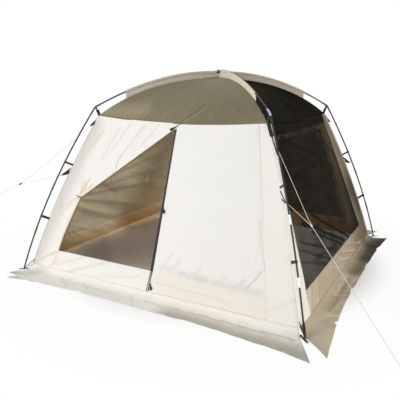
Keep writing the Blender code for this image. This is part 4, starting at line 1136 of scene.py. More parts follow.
@dataclass
class WallDress:
    """The cloth frame of one wall: two wings, sill and header, with their seams."""

    side: Side
    folds: Sequence[Crease] = ()
    seed: float = 1.0
    lap: float = 0.006
    swell: float = 0.0035
    tape_out: float = 0.0011

    def out(self, x: float, height: float) -> float:
        """How far the cloth stands off the wall's plane at a point."""
        swell = self.swell * rumple(0.32, self.seed, x, height, self.seed)
        fine = 0.0012 * rumple(0.07, self.seed + 5, x, height * 0.6, self.seed)
        return swell + fine + lifted(self.folds, x, height)

    def wing_point(self, sign: int, across: float, height: float, top: bool, out: float = 0.0) -> Vector:
        """A point of a wing.

        Args:
            sign: -1 for the left wing, 1 for the right.
            across: 0 at the seam and 1 at the corner edge.
            height: Height above the ground.
            top: Whether the point is on the eave seam.
            out: More distance outward.

        Returns:
            The point in the tent's frame.
        """
        corner = SHAPE.corner_half(height) - 0.0012
        x = sign * mix(SHAPE.seam_half(height) - self.lap, corner, across)
        if top:
            height = SHAPE.eave_at(x) - SHAPE.seam_gap
        half = mix(SHAPE.wall_half(height), SHAPE.corner_half(height), across**2)
        fade = ease(6 * (1 - across)) * ease(6 * height / SHAPE.eave_height)
        point = Vector((x, -half, height)) + SHAPE.outward * (self.out(x, height) * fade + out)
        return self.side.turn @ point

    def finish_of(self, word: str) -> Finish:
        """The cloth of one piece of the frame."""
        # The side headers are olive darkened as painted shade; the right wall's cream is darkened as painted shade,
        # and its left wing is painted lighter and glowing, as light.
        if word == "header" and self.side is not Side.FRONT:
            return HEADER_SHADE
        if self.side is Side.RIGHT:
            return LIT_CREAM_STRIP if word == "left" else RIGHT_WALL_SHADE
        return CREAM

    def wing(self, sign: int) -> Sheet:
        """One corner wing."""

        def place(u: float, v: float) -> Vector:
            return self.wing_point(sign, u, mix(SHAPE.base_seam, SHAPE.eave_height, v), v > 0.999)

        word = "left" if sign < 0 else "right"
        name = f"wing_{self.side.word}_{word}"
        return Sheet(name, self.finish_of(word), place, 20, 84, held="stretched", inside=INSIDE_SHADE_AND_GLOW)

    def band(self, word: str, low: Callable[[float], float], high: Callable[[float], float], rows: int) -> Sheet:
        """A strip across the middle of the wall between two heights."""

        def place(u: float, v: float) -> Vector:
            height = mix(low(0.0), high(0.0), v)
            x = mix(-1, 1, u) * (SHAPE.seam_half(height) - 0.001)
            height = mix(low(x), high(x), v)
            return SHAPE.on_wall(self.side, x, height, self.out(x, height) * pinned(v, 4, 4, (0.1, 0.1)))

        inside = SILL_GLOW if word == "sill" else INSIDE_SHADE_AND_GLOW
        name = f"{word}_{self.side.word}"
        return Sheet(name, self.finish_of(word), place, 110, rows, held="stretched", inside=inside)

    def build(self) -> None:
        """Builds the four pieces and the tapes over their seams."""
        sheets = [
            self.wing(-1),
            self.wing(1),
            self.band("sill", lambda x: SHAPE.base_seam, lambda x: SHAPE.sill, 14),
            self.band("header", lambda x: SHAPE.header, lambda x: SHAPE.eave_at(x) - SHAPE.seam_gap, 6),
        ]
        for index, sheet in enumerate(sheets):
            hang(sheet, "tent", [] if index else [f"wall_{self.side.word}"])
        self.seam(-1, "left")
        self.seam(1, "right")
        self.hem("header", SHAPE.header + 0.004)
        if self.side is not Side.FRONT:
            self.hem("sill", SHAPE.sill - 0.004)
        self.base_edge()

    def base_edge(self) -> None:
        """The doubled edge inside the foot of the wall, painted with a glow where the light comes through."""

        def line(v: float) -> Tape:
            x = mix(-1, 1, v) * (SHAPE.corner_half(SHAPE.base_seam) - 0.03)
            return SHAPE.on_wall(self.side, x, SHAPE.base_seam - 0.022, -0.006), self.side.upward, 0.042

        finish = BASE_EDGE_GLOW if self.side is Side.LEFT else SILL_GLOW
        ribbon(f"base_edge_{self.side.word}", line, 60, 0.0012, finish)

    def seam(self, sign: int, word: str) -> None:
        """A narrow tape down a wing seam."""
        high = SHAPE.eave_at(SHAPE.seam_half(1.6)) - 0.004
        if self.side is Side.FRONT and sign < 0:
            high = SHAPE.sill

        def line(v: float) -> Tape:
            height = mix(SHAPE.base_seam + 0.004, high, v)
            x = sign * SHAPE.seam_half(height)
            out = self.out(x, height) * 0.2 + self.tape_out
            return SHAPE.on_wall(self.side, x, height, out), self.side.along, 0.005

        finish = CREAM if self.side is Side.FRONT else CREAM_TAPE
        if self.side is Side.RIGHT and sign > 0:
            finish = RIGHT_WALL_SHADE
        ribbon(f"seam_{self.side.word}_{word}", line, 40, self.tape_out, finish)

    def hem(self, word: str, height: float) -> None:
        """A narrow tape along the sill or the header."""

        def line(v: float) -> Tape:
            x = mix(-1, 1, v) * SHAPE.seam_half(height)
            return SHAPE.on_wall(self.side, x, height, self.tape_out), self.side.upward, 0.007

        ribbon(f"hem_{self.side.word}_{word}", line, 60, self.tape_out, self.finish_of(word))


@dataclass
class NetPanel:
    """One stretch of net in a wall's opening, with the slack folds it hangs in."""

    name: str
    side: Side
    replaced: Sequence[str]
    seed: float = 3.0
    finish: Finish = NET
    left: float | None = None
    right: float | None = None
    folds: Sequence[Crease] = ()
    swell: float = 0.006

    def point(self, u: float, v: float) -> Vector:
        """A point of the net; it lies flat at its sewn edges."""
        height = mix(SHAPE.sill + 0.001, SHAPE.header - 0.001, v)
        half = SHAPE.seam_half(height) - 0.001
        x = mix(-half if self.left is None else self.left, half if self.right is None else self.right, u)
        out = self.swell * rumple(0.30, self.seed, x, height) + lifted(self.folds, x, height)
        return SHAPE.on_wall(self.side, x, height, out * pinned(v, 8, 8) * pinned(u, 8, 8) - 0.0005)

    def build(self, body: str | Callable[[Piece], None] = "tent") -> None:
        """Builds the net on the tent's own body, or hands it to the function instead."""
        sheet = Sheet(self.name, self.finish, self.point, 100, 70, 0.0006, "stretched")
        hang(sheet, body, self.replaced)


def across_fold(start: Pair, end: Pair, out: float, reach: float = 0.035) -> tuple[Vector, Vector]:
    """Two points either side of a slanting fold in the front wall, for cloth that bends there.

    Args:
        start: One end of the fold, as (x, height).
        end: The other end.
        out: Distance of the fold from the wall's plane.
        reach: How far each point lies from the fold.

    Returns:
        The point on the sewn side and the point on the free side, to the right of the way from start to end.
    """
    first, last = (SHAPE.on_wall(Side.FRONT, *spot, out) for spot in (start, end))
    free_way = (last - first).cross(SHAPE.outward).normalized()
    middle = (first + last) / 2
    return middle - free_way * reach, middle + free_way * reach


@dataclass
class FrontDoor:
    """The front's double door: left half tied back, right half closed, nets behind and the zip between."""

    tie_x: float = -0.985
    tie_height: float = 0.796
    roll_radius: float = 0.0125
    tail_radius: float = 0.009
    roll_turn: float = math.radians(320)
    tape_out: float = 0.0026

    def build(self, wall: WallDress) -> None:
        """Builds flaps, nets, zip, sliders and toggle, over the front wall's frame."""
        self.left_net()
        left = SHAPE.zip_x + 0.001
        NetPanel("net_front_right", Side.FRONT, ["front_net_right"], finish=NET_FRONT, left=left).build()
        self.tied_flap(wall)
        self.closed_flap()
        self.zip()
        for word in ("upper", "lower"):
            self.slider(word)
        self.toggle()

    def left_net(self) -> None:
        """The net behind the tied flap: a fan of folds from the tie, and short ones up from its low corner."""
        replaced = ["front_net_left_sewn", "front_net_left_free"]
        folds = creases(
            (-0.92, 0.8, -0.05, 1.02, 0.02, 0.012), (-0.9, 0.78, -0.3, 0.86, 0.016, -0.01),
            (-0.86, 0.84, -0.1, 1.16, 0.018, -0.01), (-0.7, 0.96, -0.05, 1.3, 0.022, 0.01),
            (-0.95, 0.7, -0.1, 0.74, 0.024, 0.012), (-0.8, 0.62, -0.05, 0.62, 0.028, -0.01),
            (-1.08, 0.46, -0.9, 0.33, 0.012, 0.014), (-1.02, 0.48, -0.76, 0.36, 0.012, 0.014),
            (-0.98, 0.54, -0.55, 0.42, 0.016, -0.01), (-1.13, 0.3, -0.6, 0.4, 0.018, 0.01),
            (-0.4, 1.16, -0.05, 1.42, 0.016, -0.008), (0.0, 1.2, -0.35, 0.98, 0.016, 0.009),
        )
        right = SHAPE.zip_x - 0.001
        panel = NetPanel("net_front_left", Side.FRONT, replaced, 7.0, NET_FRONT, right=right, folds=folds)
        panel.build(self.bend_with_net)

    def bend_with_net(self, piece: Piece) -> None:
        """Bakes the left net's transform into its mesh; the net is not bent at its slant."""
        start = (-SHAPE.seam_half(SHAPE.sill), SHAPE.sill)
        sewn, free = across_fold(start, (SHAPE.zip_x, SHAPE.header), -0.0005)
        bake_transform(piece)

    def bend_with_flap(self, piece: Piece) -> None:
        """Bakes a piece's transform into its mesh; the piece is not bent at the flap's slant."""
        top = (SHAPE.zip_x, SHAPE.header + SHAPE.flap_lap)
        foot = (SHAPE.seam_half(SHAPE.flap_bottom) + SHAPE.flap_lap, SHAPE.flap_bottom)
        sewn, free = across_fold(top, foot, SHAPE.flap_out + 0.0006)
        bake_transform(piece)

    def edge_x(self, height: float) -> float:
        """Where the tied flap's rolled edge runs at a height."""
        start = -SHAPE.seam_half(SHAPE.sill) - 0.002
        if height < self.tie_height:
            share = (height - SHAPE.sill) / (self.tie_height - SHAPE.sill)
            return mix(start, self.tie_x, max(0.0, share) ** 1.15)
        share = min(1.0, (height - self.tie_height) / (SHAPE.header - self.tie_height))
        return mix(self.tie_x, SHAPE.zip_x - 0.034, share)

    def radius_at(self, share: float) -> float:
        """Radius of the rolled edge from its tail at the sill up to the zip's top."""
        fade = min(1, 6 * (1 - share)) * min(1, 0.3 + share * 3)
        nip = 1 - 0.45 * math.exp(-(((share - self.tie_share) / 0.02) ** 2))
        return mix(self.tail_radius, self.roll_radius, min(1, share * 2.2)) * max(fade, 0.35) * nip

    @property
    def tie_share(self) -> float:
        """How far up the flap the tie is."""
        return (self.tie_height - SHAPE.sill) / (SHAPE.eave_height - SHAPE.sill)

    def gathers(self) -> list[Crease]:
        """Folds in the tied half: a fan at the tie, raised and sunk in turn, and long slack ones from the eave."""
        ends = ((-1.00, 0.98), (-0.94, 1.00), (-0.90, 1.04), (-0.86, 1.02), (-0.83, 0.98), (-1.08, 0.92))
        tie, depth = (self.tie_x, self.tie_height), 0.014
        fan = [Crease(tie, end, 0.010, depth * (-0.7 if k % 2 else 1)) for k, end in enumerate(ends)]
        return fan + creases(
            (-0.8, 1.6, -1.02, 1.16, 0.026, 0.014), (-0.62, 1.6, -0.86, 1.06, 0.024, -0.012),
            (-0.5, 1.59, -0.78, 1.1, 0.022, 0.014), (-0.36, 1.59, -0.66, 1.1, 0.02, -0.012),
            (-0.27, 1.58, -0.56, 1.16, 0.018, 0.013), (-0.15, 1.58, -0.42, 1.26, 0.016, -0.009),
            (-0.57, 1.26, -0.62, 1.08, 0.014, 0.01), (-1.0, 0.8, -1.32, 0.6, 0.012, 0.012),
            (-1.01, 0.77, -1.3, 0.5, 0.02, -0.012), (-1.06, 0.62, -1.24, 0.34, 0.018, 0.009),
        )

    def tied_flap(self, wall: WallDress) -> None:
        """The open half, sewn along eave and corner, its edge rolled outward."""
        wing_steps, flat_steps, curl_steps, rows = 18, 66, 14, 150
        total = wing_steps + flat_steps + curl_steps
        low = SHAPE.sill + 0.003
        clear = 0.0022
        folds = self.gathers()

        def edge(height: float) -> Vector:
            return Vector((self.edge_x(height), height / math.cos(SHAPE.lean), 0))

        def curl_way(height: float) -> Vector:
            ahead = edge(min(height + 0.08, SHAPE.header)) - edge(max(height - 0.08, low))
            return Vector((ahead.y, -ahead.x, 0)).normalized()

        def raised(x: float, height: float) -> float:
            return max(lifted(folds, x, height) + 0.004 * rumple(0.25, 11.0, x, height) + 0.007, 0.0)

        def on_wing(i: float, height: float, v: float) -> Vector:
            outer = mix(0.02, 0.985, ease((height - 0.30) / 0.55))
            across = mix(outer, 0, i / wing_steps)
            x = -mix(SHAPE.seam_half(height), SHAPE.corner_half(height), across)
            fade = ease(3 * (outer - across)) * pinned(v, 5, 9)
            return wall.wing_point(-1, across, height, v > 0.999, clear + raised(x, height) * fade)

        def place(u: float, v: float) -> Vector:
            i = u * total
            height = mix(low, SHAPE.eave_height - 0.002, v)
            if i < wing_steps:
                return on_wing(i, height, v)
            share = min(1.0, (i - wing_steps) / flat_steps)
            x = mix(-SHAPE.seam_half(height) + wall.lap, self.edge_x(height), share)
            height = min(height, SHAPE.eave_at(x) - 0.0010)
            if i <= wing_steps + flat_steps:
                fade = pinned(v, 5, 9) * ease(5 * (1 - share) + 0.12)
                base = wall.out(x, height) * (1 - share)
                return SHAPE.on_wall(Side.FRONT, x, height, clear + base + raised(x, height) * fade)
            radius = self.radius_at(v) * (1 + 0.08 * math.sin(37 * v) * math.sin(90 * v))
            radius *= 1 - 0.93 * ease((height - SHAPE.header + 0.02) / 0.03)
            angle = self.roll_turn * (i - wing_steps - flat_steps) / curl_steps
            lift = radius * (1 - math.cos(angle)) + self.tape_out
            curled = edge(height) + curl_way(height) * radius * math.sin(angle)
            return SHAPE.on_front(curled.x, curled.y * math.cos(SHAPE.lean), lift)

        # Painted light and shade lie on the flap's outside and a painted glow on its inside.
        sheet = Sheet("flap_front_left", CREAM_TIED, place, total, rows, 0.0008, "gathered", inside=RIM_GLOW)
        hang(sheet, "tent", ["front_flap_left_tied"])

    def closed_flap(self) -> None:
        """The closed half, with its slack folds."""
        low = SHAPE.flap_bottom
        folds = creases(
            (1.0, 0.82, 1.1, 0.26, 0.018, 0.01), (1.03, 0.62, 0.97, 0.24, 0.012, 0.01),
            (1.02, 0.46, 0.9, 0.25, 0.012, -0.009), (1.08, 0.42, 1.02, 0.24, 0.01, 0.01),
            (0.14, 0.275, 0.56, 0.246, 0.012, 0.009), (0.5, 0.246, 1.1, 0.242, 0.012, 0.009),
            (0.24, 0.34, 0.2, 0.26, 0.012, 0.008), (0.36, 0.31, 0.44, 0.25, 0.012, -0.007),
            (0.7, 0.31, 0.64, 0.24, 0.012, 0.007), (0.12, 0.16, 0.75, 0.2, 0.02, 0.006),
            (0.6, 0.13, 1.05, 0.17, 0.018, -0.006), (0.12, 1.45, 0.2, 0.6, 0.06, 0.003),
            (0.7, 1.5, 0.88, 0.7, 0.06, -0.003),
        )

        def place(u: float, v: float) -> Vector:
            x = mix(SHAPE.zip_x, SHAPE.seam_half(mix(low, SHAPE.eave_height, v)) + SHAPE.flap_lap, u)
            height = mix(low, SHAPE.eave_at(x) - 0.0010, v)
            lift = lifted(folds, x, height) + 0.0025 * rumple(0.35, 21.0, x, height)
            fade = pinned(v, 10, 6, (0.3, 0)) * pinned(u, 8, 8, (0.2, 0.1))
            return SHAPE.on_front(x, height, 0.0004 + max(0.0, lift + 0.005) * fade)

        sheet = Sheet("flap_front_right", CREAM_DOOR, place, 90, 130, 0.0008)
        hang(sheet, self.bend_with_flap, ["front_flap_right_sewn", "front_flap_right_free"])

    def zip(self) -> None:
        """The black tape down the closed half's free edge, its coil, and the tab at the top."""
        side = Side.FRONT.along

        def tape(v: float) -> Tape:
            height = mix(SHAPE.sill, SHAPE.header + 0.006, v)
            return SHAPE.on_front(SHAPE.zip_x - 0.004, height, self.tape_out), side, mix(0.030, 0.014, ease(v))

        def coil(v: float) -> Tape:
            wave = 0.0006 * (1 if int(v * 480) % 2 else -1)
            middle = SHAPE.on_front(SHAPE.zip_x, mix(SHAPE.flap_bottom, SHAPE.header, v), 0.0042)
            return middle + Vector((wave, 0, 0)), side, 0.004

        def tab(v: float) -> Tape:
            spots = ((-0.026, 1.514), (0.010, 1.536), (0.066, 1.584))
            low, middle, high = (SHAPE.on_front(*spot, 0.024 * (1 - v)) for spot in spots)
            point = low.lerp(middle, v).lerp(middle.lerp(high, v), v)
            return point, Vector((-0.45, 0, 0.89)), mix(0.024, 0.006, ease(1.4 * v))

        self.bend_with_flap(ribbon("zip_tape", tape, 48, 0.0012, ZIP_TAPE, None))
        for word, shift in (("left", -0.011), ("right", 0.005)):

            def thin(v: float, shift: float = shift) -> Tape:
                x = SHAPE.zip_x + mix(-0.014, 0.0, v) + shift
                height = mix(SHAPE.flap_bottom - 0.008, SHAPE.sill, v)
                return SHAPE.on_front(x, height, self.tape_out), side, 0.0065

            self.bend_with_flap(ribbon(f"zip_tape_low_{word}", thin, 8, 0.0012, ZIP_TAPE, None))
        self.bend_with_flap(ribbon("zip_coil", coil, 480, 0.0014, BLACK_PLASTIC, None, across=1))
        ribbon("zip_top_tab", tab, 12, 0.0025, BLACK_WEBBING)

    def slider(self, word: str) -> None:
        """A slider's body and its pull tab on the zip."""
        node, upward = f"zip_slider_{word}", Side.FRONT.upward
        low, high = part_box(node)
        face = SHAPE.on_wall(Side.FRONT, ((low + high) / 2).x, high.z - 0.010)
        body = self.block(f"slider_{word}_body", face + SHAPE.outward * 0.0086, upward, (0.011, 0.021, 0.006))
        BLACK_PLASTIC.dress(body)
        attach(body, f"{word}_slider")
        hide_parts(node)
        start = face + SHAPE.outward * 0.0122 - upward * 0.002

        def pull(v: float) -> Tape:
            opened = ease(2.5 * v)
            aside, bow = Vector((0.017 * opened, 0, 0)), 0.0015 * math.sin(math.pi * v)
            point = start + aside - upward * 0.044 * v + SHAPE.outward * bow
            return point, Side.FRONT.along, mix(0.009, 0.022, opened)

        ribbon(f"slider_{word}_pull", pull, 8, 0.0018, BLACK_WEBBING, f"{word}_slider")

    def block(self, name: str, centre: Vector, upward: Vector, size: tuple[float, float, float]) -> Piece:
        """A small block with softened edges, lying on the front wall."""
        shape = bmesh.new()
        bmesh.ops.create_cube(shape, size=1)
        bmesh.ops.scale(shape, vec=size, verts=shape.verts)
        bmesh.ops.bevel(shape, geom=shape.edges[:], offset=0.0014, segments=3, profile=0.6, affect="EDGES")
        side = Side.FRONT.along
        axes = Matrix((side, upward, side.cross(upward))).transposed().to_4x4()
        bmesh.ops.transform(shape, matrix=Matrix.Translation(centre) @ axes, verts=shape.verts)
        return finish_mesh(name, shape)

    def toggle(self) -> None:
        """The bar and its loop that hold the rolled edge."""
        low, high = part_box("flap_toggle")
        centre = (low + high) / 2
        way = Vector((high.x - low.x, 0, low.z - high.z))
        way.y = -way.z * math.tan(SHAPE.lean)
        way = way.normalized()
        shares = (-1.0, -0.95, -0.8, -0.35, -0.12, 0.0, 0.12, 0.35, 0.8, 0.95, 1.0)
        sizes = (0.25, 0.62, 0.95, 1.0, 0.82, 0.72, 0.82, 1.0, 0.95, 0.62, 0.25)
        points = [centre + way * 0.023 * share for share in shares]
        bar = tube("toggle_bar", points, [0.005 * size for size in sizes], BLACK_PLASTIC, body="toggle")
        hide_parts("flap_toggle")
        radius = self.radius_at(self.tie_share)
        inner = SHAPE.on_front(self.tie_x, self.tie_height, self.tape_out + radius)
        axis = SHAPE.on_wall(Side.FRONT, self.edge_x(0.9), 0.9) - SHAPE.on_wall(Side.FRONT, self.edge_x(0.66), 0.66)
        tube("toggle_loop", circle(inner, axis, radius + 0.0025), [0.0016], BLACK_WEBBING, closed=True)


@dataclass
class Cover:
    """The outer cover of a side opening, hung from the header."""

    side: Side
    seed: float

    def build(self) -> None:
        """Builds the cover with slack folds, and black zip tapes down its two sides."""
        word, low, top = self.side.word, SHAPE.flap_bottom, SHAPE.header + SHAPE.flap_lap
        folds = creases(
            (-0.8, 1.5, -1.0, 0.4, 0.05, 0.008), (0.8, 1.5, 1.02, 0.4, 0.05, 0.008),
            (-0.3, 1.5, -0.42, 0.3, 0.06, -0.006), (0.25, 1.5, 0.38, 0.3, 0.06, 0.006),
            (-0.9, 0.22, 0.2, 0.17, 0.035, 0.008), (-0.1, 0.18, 0.95, 0.24, 0.03, -0.007),
        )

        def place(u: float, v: float) -> Vector:
            height = mix(low, top, v)
            x = mix(-1, 1, u) * (SHAPE.seam_half(height) + SHAPE.flap_lap)
            lift = lifted(folds, x, height) + 0.004 * rumple(0.35, self.seed, x, height)
            fade = pinned(v, 6, 6, (0.3, 0)) * pinned(u, 10, 10, (0.2, 0.2))
            out = SHAPE.flap_out + 0.0004 + max(0.0, lift + 0.004) * fade
            return SHAPE.on_wall(self.side, x, height, out)

        # The back cover's inward faces are painted nearly black as shade; the others get the cloth's painted inside
        # shade and glow.
        inside = BACK_COVER_SHADE if self.side is Side.BACK else INSIDE_SHADE_AND_GLOW
        sheet = Sheet(f"cover_{word}", CREAM_FLAP, place, 72, 56, 0.0008, inside=inside)
        hang(sheet, f"{word}_cover", [f"{word}_flap"])
        for sign, end in ((-1, "left"), (1, "right")):

            def tape(v: float, sign: int = sign) -> Tape:
                height = mix(low + 0.01, top - 0.03, v)
                x = sign * (SHAPE.seam_half(height) + SHAPE.flap_lap - 0.010)
                return SHAPE.on_wall(self.side, x, height, SHAPE.flap_out + 0.0024), self.side.along, 0.016

            ribbon(f"cover_{word}_zip_{end}", tape, 40, 0.0010, ZIP_TAPE, f"{word}_cover")


@dataclass
class StowedCover:
    """The right opening's cover, rolled up inside under the header and held by ties."""

    radius: float = 0.030
    turns: float = 2.25
    half: float = 0.840

    def build(self) -> None:
        """Builds the roll and its ties."""
        slope = SHAPE.header / math.cos(SHAPE.lean) - self.radius - 0.004
        out, upward = Side.RIGHT.turn @ SHAPE.outward, Side.RIGHT.upward

        def centre(x: float) -> Vector:
            sag = 0.010 * (1 - (x / self.half) ** 2)
            return SHAPE.on_wall(Side.RIGHT, x, (slope - sag) * math.cos(SHAPE.lean), -(self.radius + 0.0015))

        def place(u: float, v: float) -> Vector:
            x = mix(-self.half, self.half, v)
            angle = 2 * math.pi * self.turns * u
            radius = mix(0.35, 1, u) * self.radius * (0.96 + 0.04 * rumple(0.12, 31.0, x, u))
            return centre(x) + upward * radius * math.cos(angle) + out * radius * math.sin(angle)

        sheet = Sheet("cover_right_rolled", CREAM_FLAP, place, 90, 60, 0.0010, "folded")
        hang(sheet, "tent", ["right_flap_rolled"])
        for index, x in enumerate((-0.55, 0.0, 0.55)):
            ring = circle(centre(x), Side.RIGHT.along, self.radius + 0.0022, 28)
            tube(f"cover_right_tie_{index}", ring, [0.0020], CREAM_TAPE, closed=True)


@dataclass
class Roof:
    """The four roof panels, the pole sleeves and the patch at the top."""

    tip: float = 0.070
    sleeve_start: float = 0.040
    sleeve_end: float = 1.045
    patch_radius: float = 0.100
    loop_half: float = 0.0196

    def build(self) -> None:
        """Builds every roof piece."""
        for side in Side:
            self.panel(side)
            self.eave_hem(side)
        for corner in Corner:
            # The front-right sleeve and its web are the lighter copy of the sleeve cloth, as painted light.
            finish = LIT_SLEEVE if corner is Corner.FRONT_RIGHT else SLEEVE_CLOTH
            self.sleeve(corner, finish)
            self.crown(corner)
            self.gusset(corner, finish)
        self.patch()
        self.loop()

    def lift_sign(self, corner: Corner) -> int:
        """1 where the corner's roof pole passes over the other one, and -1 where it passes under."""
        return 1 if corner in (Corner.FRONT_RIGHT, Corner.BACK_LEFT) else -1

    def pole_centre(self, corner: Corner, radius: float) -> float:
        """Height of the corner's roof pole at a distance from the middle, lifted or lowered at the crossing."""
        lift = self.lift_sign(corner) * (SHAPE.pole_radius + SHAPE.seam_gap)
        return SHAPE.pole_height(radius) + lift * math.exp(-((radius / 0.25) ** 2))

    def crown(self, corner: Corner) -> None:
        """The dark line along the top of a sleeve."""

        def line(v: float) -> Tape:
            radius = mix(self.sleeve_start + 0.004, self.sleeve_end - 0.002, v)
            height = self.pole_centre(corner, radius) + SHAPE.pole_radius + 0.0046
            return SHAPE.at_corner(corner, radius, height), corner.aside, 0.011

        ribbon(f"sleeve_seam_{corner.word}", line, 60, 0.0010, DARK_SLEEVE_LINE)

    def gusset(self, corner: Corner, finish: Finish) -> None:
        """The short web between the top patch and the pole, up to the crossing."""

        def place(u: float, v: float) -> Vector:
            radius = mix(0.001, self.sleeve_start + 0.002, v)
            top = self.pole_centre(corner, radius) - SHAPE.pole_radius - 0.0012
            return SHAPE.at_corner(corner, radius, mix(SHAPE.roof_height(radius) + 0.0048, top, u))

        Sheet(f"roof_gusset_{corner.word}", finish, place, 6, 14).build("tent")

    def panel(self, side: Side) -> None:
        """One quarter of the roof between two sleeves and the eave; its folds are in (across, down) shares."""
        folds = creases(
            (-0.1, 0.98, 0.12, 0.72, 0.03, -0.008), (0.35, 0.98, 0.55, 0.8, 0.025, 0.006),
            (-0.75, 0.98, -0.45, 0.8, 0.03, 0.006), (0.8, 0.97, 0.45, 0.62, 0.035, 0.007),
            (-0.85, 0.97, -0.55, 0.6, 0.03, -0.005), (0.03, 1.02, 0.3, 0.76, 0.012, 0.012),
        )
        if side is Side.RIGHT:
            folds += creases(
                (-0.7, 0.86, 0.1, 0.7, 0.02, 0.012), (-0.85, 0.95, 0.25, 0.93, 0.022, 0.012),
            )

        def place(u: float, v: float) -> Vector:
            across = mix(-1, 1, u)
            down = mix(self.tip / SHAPE.eave_radius, 1, v)
            radius = down * SHAPE.eave_radius
            half = radius / math.sqrt(2)
            hollow = (SHAPE.eave_sag * down**2 + SHAPE.hollow * down * (1 - down)) * (1 - across**2)
            swell = 0.004 * rumple(0.30, 41.0 + side.value / 90, across * half, radius)
            lift = (lifted(folds, across, down) + swell) * pinned(u, 7, 7) * pinned(v, 5, 9)
            pucker = math.sin(64 * across + 2.5 * rumple(0.12, 45.0, across))
            lift += 0.0022 * pucker * ease(1 - (1 - down) / 0.16) * ease(14 * (1 - v))
            x, y = across * (half - 0.0016 * (1 + v)), -half + 0.001 * ease(30 * v - 29)
            point = Vector((x, y, SHAPE.roof_height(radius) - hollow))
            return side.turn @ (point + Vector((0, -0.4, 0.9)) * lift)

        # The right panel is olive darkened nearly to black as painted shade; the front panel carries painted
        # highlights and painted shade.
        finish = {Side.RIGHT: RIGHT_ROOF_SHADE, Side.FRONT: OLIVE_FRONT}.get(side, OLIVE)
        sheet = Sheet(f"roof_{side.word}", finish, place, 128, 64, 0.0009, "stretched")
        hang(sheet, "tent", [f"roof_panel_{side.word}"])

    def eave_hem(self, side: Side) -> None:
        """The roof's narrow turned hem over the eave seam."""

        def line(v: float) -> Tape:
            x = mix(-1, 1, v) * (SHAPE.corner_half(SHAPE.eave_height) - 0.006)
            return SHAPE.on_wall(side, x, SHAPE.eave_at(x) - 0.003, 0.0022), side.upward, 0.012

        # The right hem is darkened as painted shade, like its panel.
        finish = RIGHT_ROOF_SHADE if side is Side.RIGHT else OLIVE
        ribbon(f"eave_hem_{side.word}", line, 64, 0.0012, finish)

    def sleeve(self, corner: Corner, finish: Finish) -> None:
        """Cloth folded over the pole, its two layers meeting in a gathered web."""
        ring = SHAPE.pole_radius + 0.0036
        neck = 0.09
        web_steps, ring_steps = 5, 14
        total = 2 * web_steps + ring_steps

        def place(u: float, v: float) -> Vector:
            radius = mix(self.sleeve_start, self.sleeve_end, v)
            centre = self.pole_centre(corner, radius)
            i = u * total
            if web_steps <= i <= total - web_steps:
                angle = neck + (2 * math.pi - 2 * neck) * (i - web_steps) / ring_steps
                return SHAPE.at_corner(corner, radius, centre - ring * math.cos(angle), -ring * math.sin(angle))
            sign, steps = (-1, i) if i < web_steps else (1, total - i)
            share = steps / web_steps
            gather = 0.0016 * math.sin(radius * 2 * math.pi / 0.030 + 3 * rumple(0.2, 51.0, radius))
            aside = sign * 0.0009 + gather * math.sin(math.pi * share)
            height = mix(SHAPE.roof_height(radius) + 0.0018, centre - ring * math.cos(neck), share)
            return SHAPE.at_corner(corner, radius, height, aside)

        sheet = Sheet(f"sleeve_{corner.word}", finish, place, total, 110, 0.0008, "stretched")
        hang(sheet, "tent", [f"pole_sleeve_{corner.word}"])

    def patch(self) -> None:
        """The disc over the four roof tips."""

        def place(u: float, v: float) -> Vector:
            angle = 2 * math.pi * u
            radius = self.patch_radius * max(v, 0.004)
            height = SHAPE.roof_height(radius) + 0.0030 + 0.0008 * math.sin(8 * angle) * v
            return Vector((radius * math.cos(angle), radius * math.sin(angle), height))

        piece = Sheet("roof_patch", OLIVE, place, 48, 10, 0.0009, "stretched", wraps=True).build("tent")
        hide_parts("apex_patch")

    def loop(self) -> None:
        """The loop round the crossing poles."""
        half = self.loop_half

        def line(v: float) -> Tape:
            angle = math.pi * v
            height = SHAPE.apex_height
            if v in (0, 1):
                height = mix(SHAPE.roof_top + 0.004, height, min(1, 2 * math.sin(angle)))
            point = Vector((half * math.cos(angle), 0, height + half * math.sin(angle)))
            return point, Vector((0, 1, 0)), 0.012

        ribbon("roof_loop", line, 16, 0.0016, SLEEVE_CLOTH)


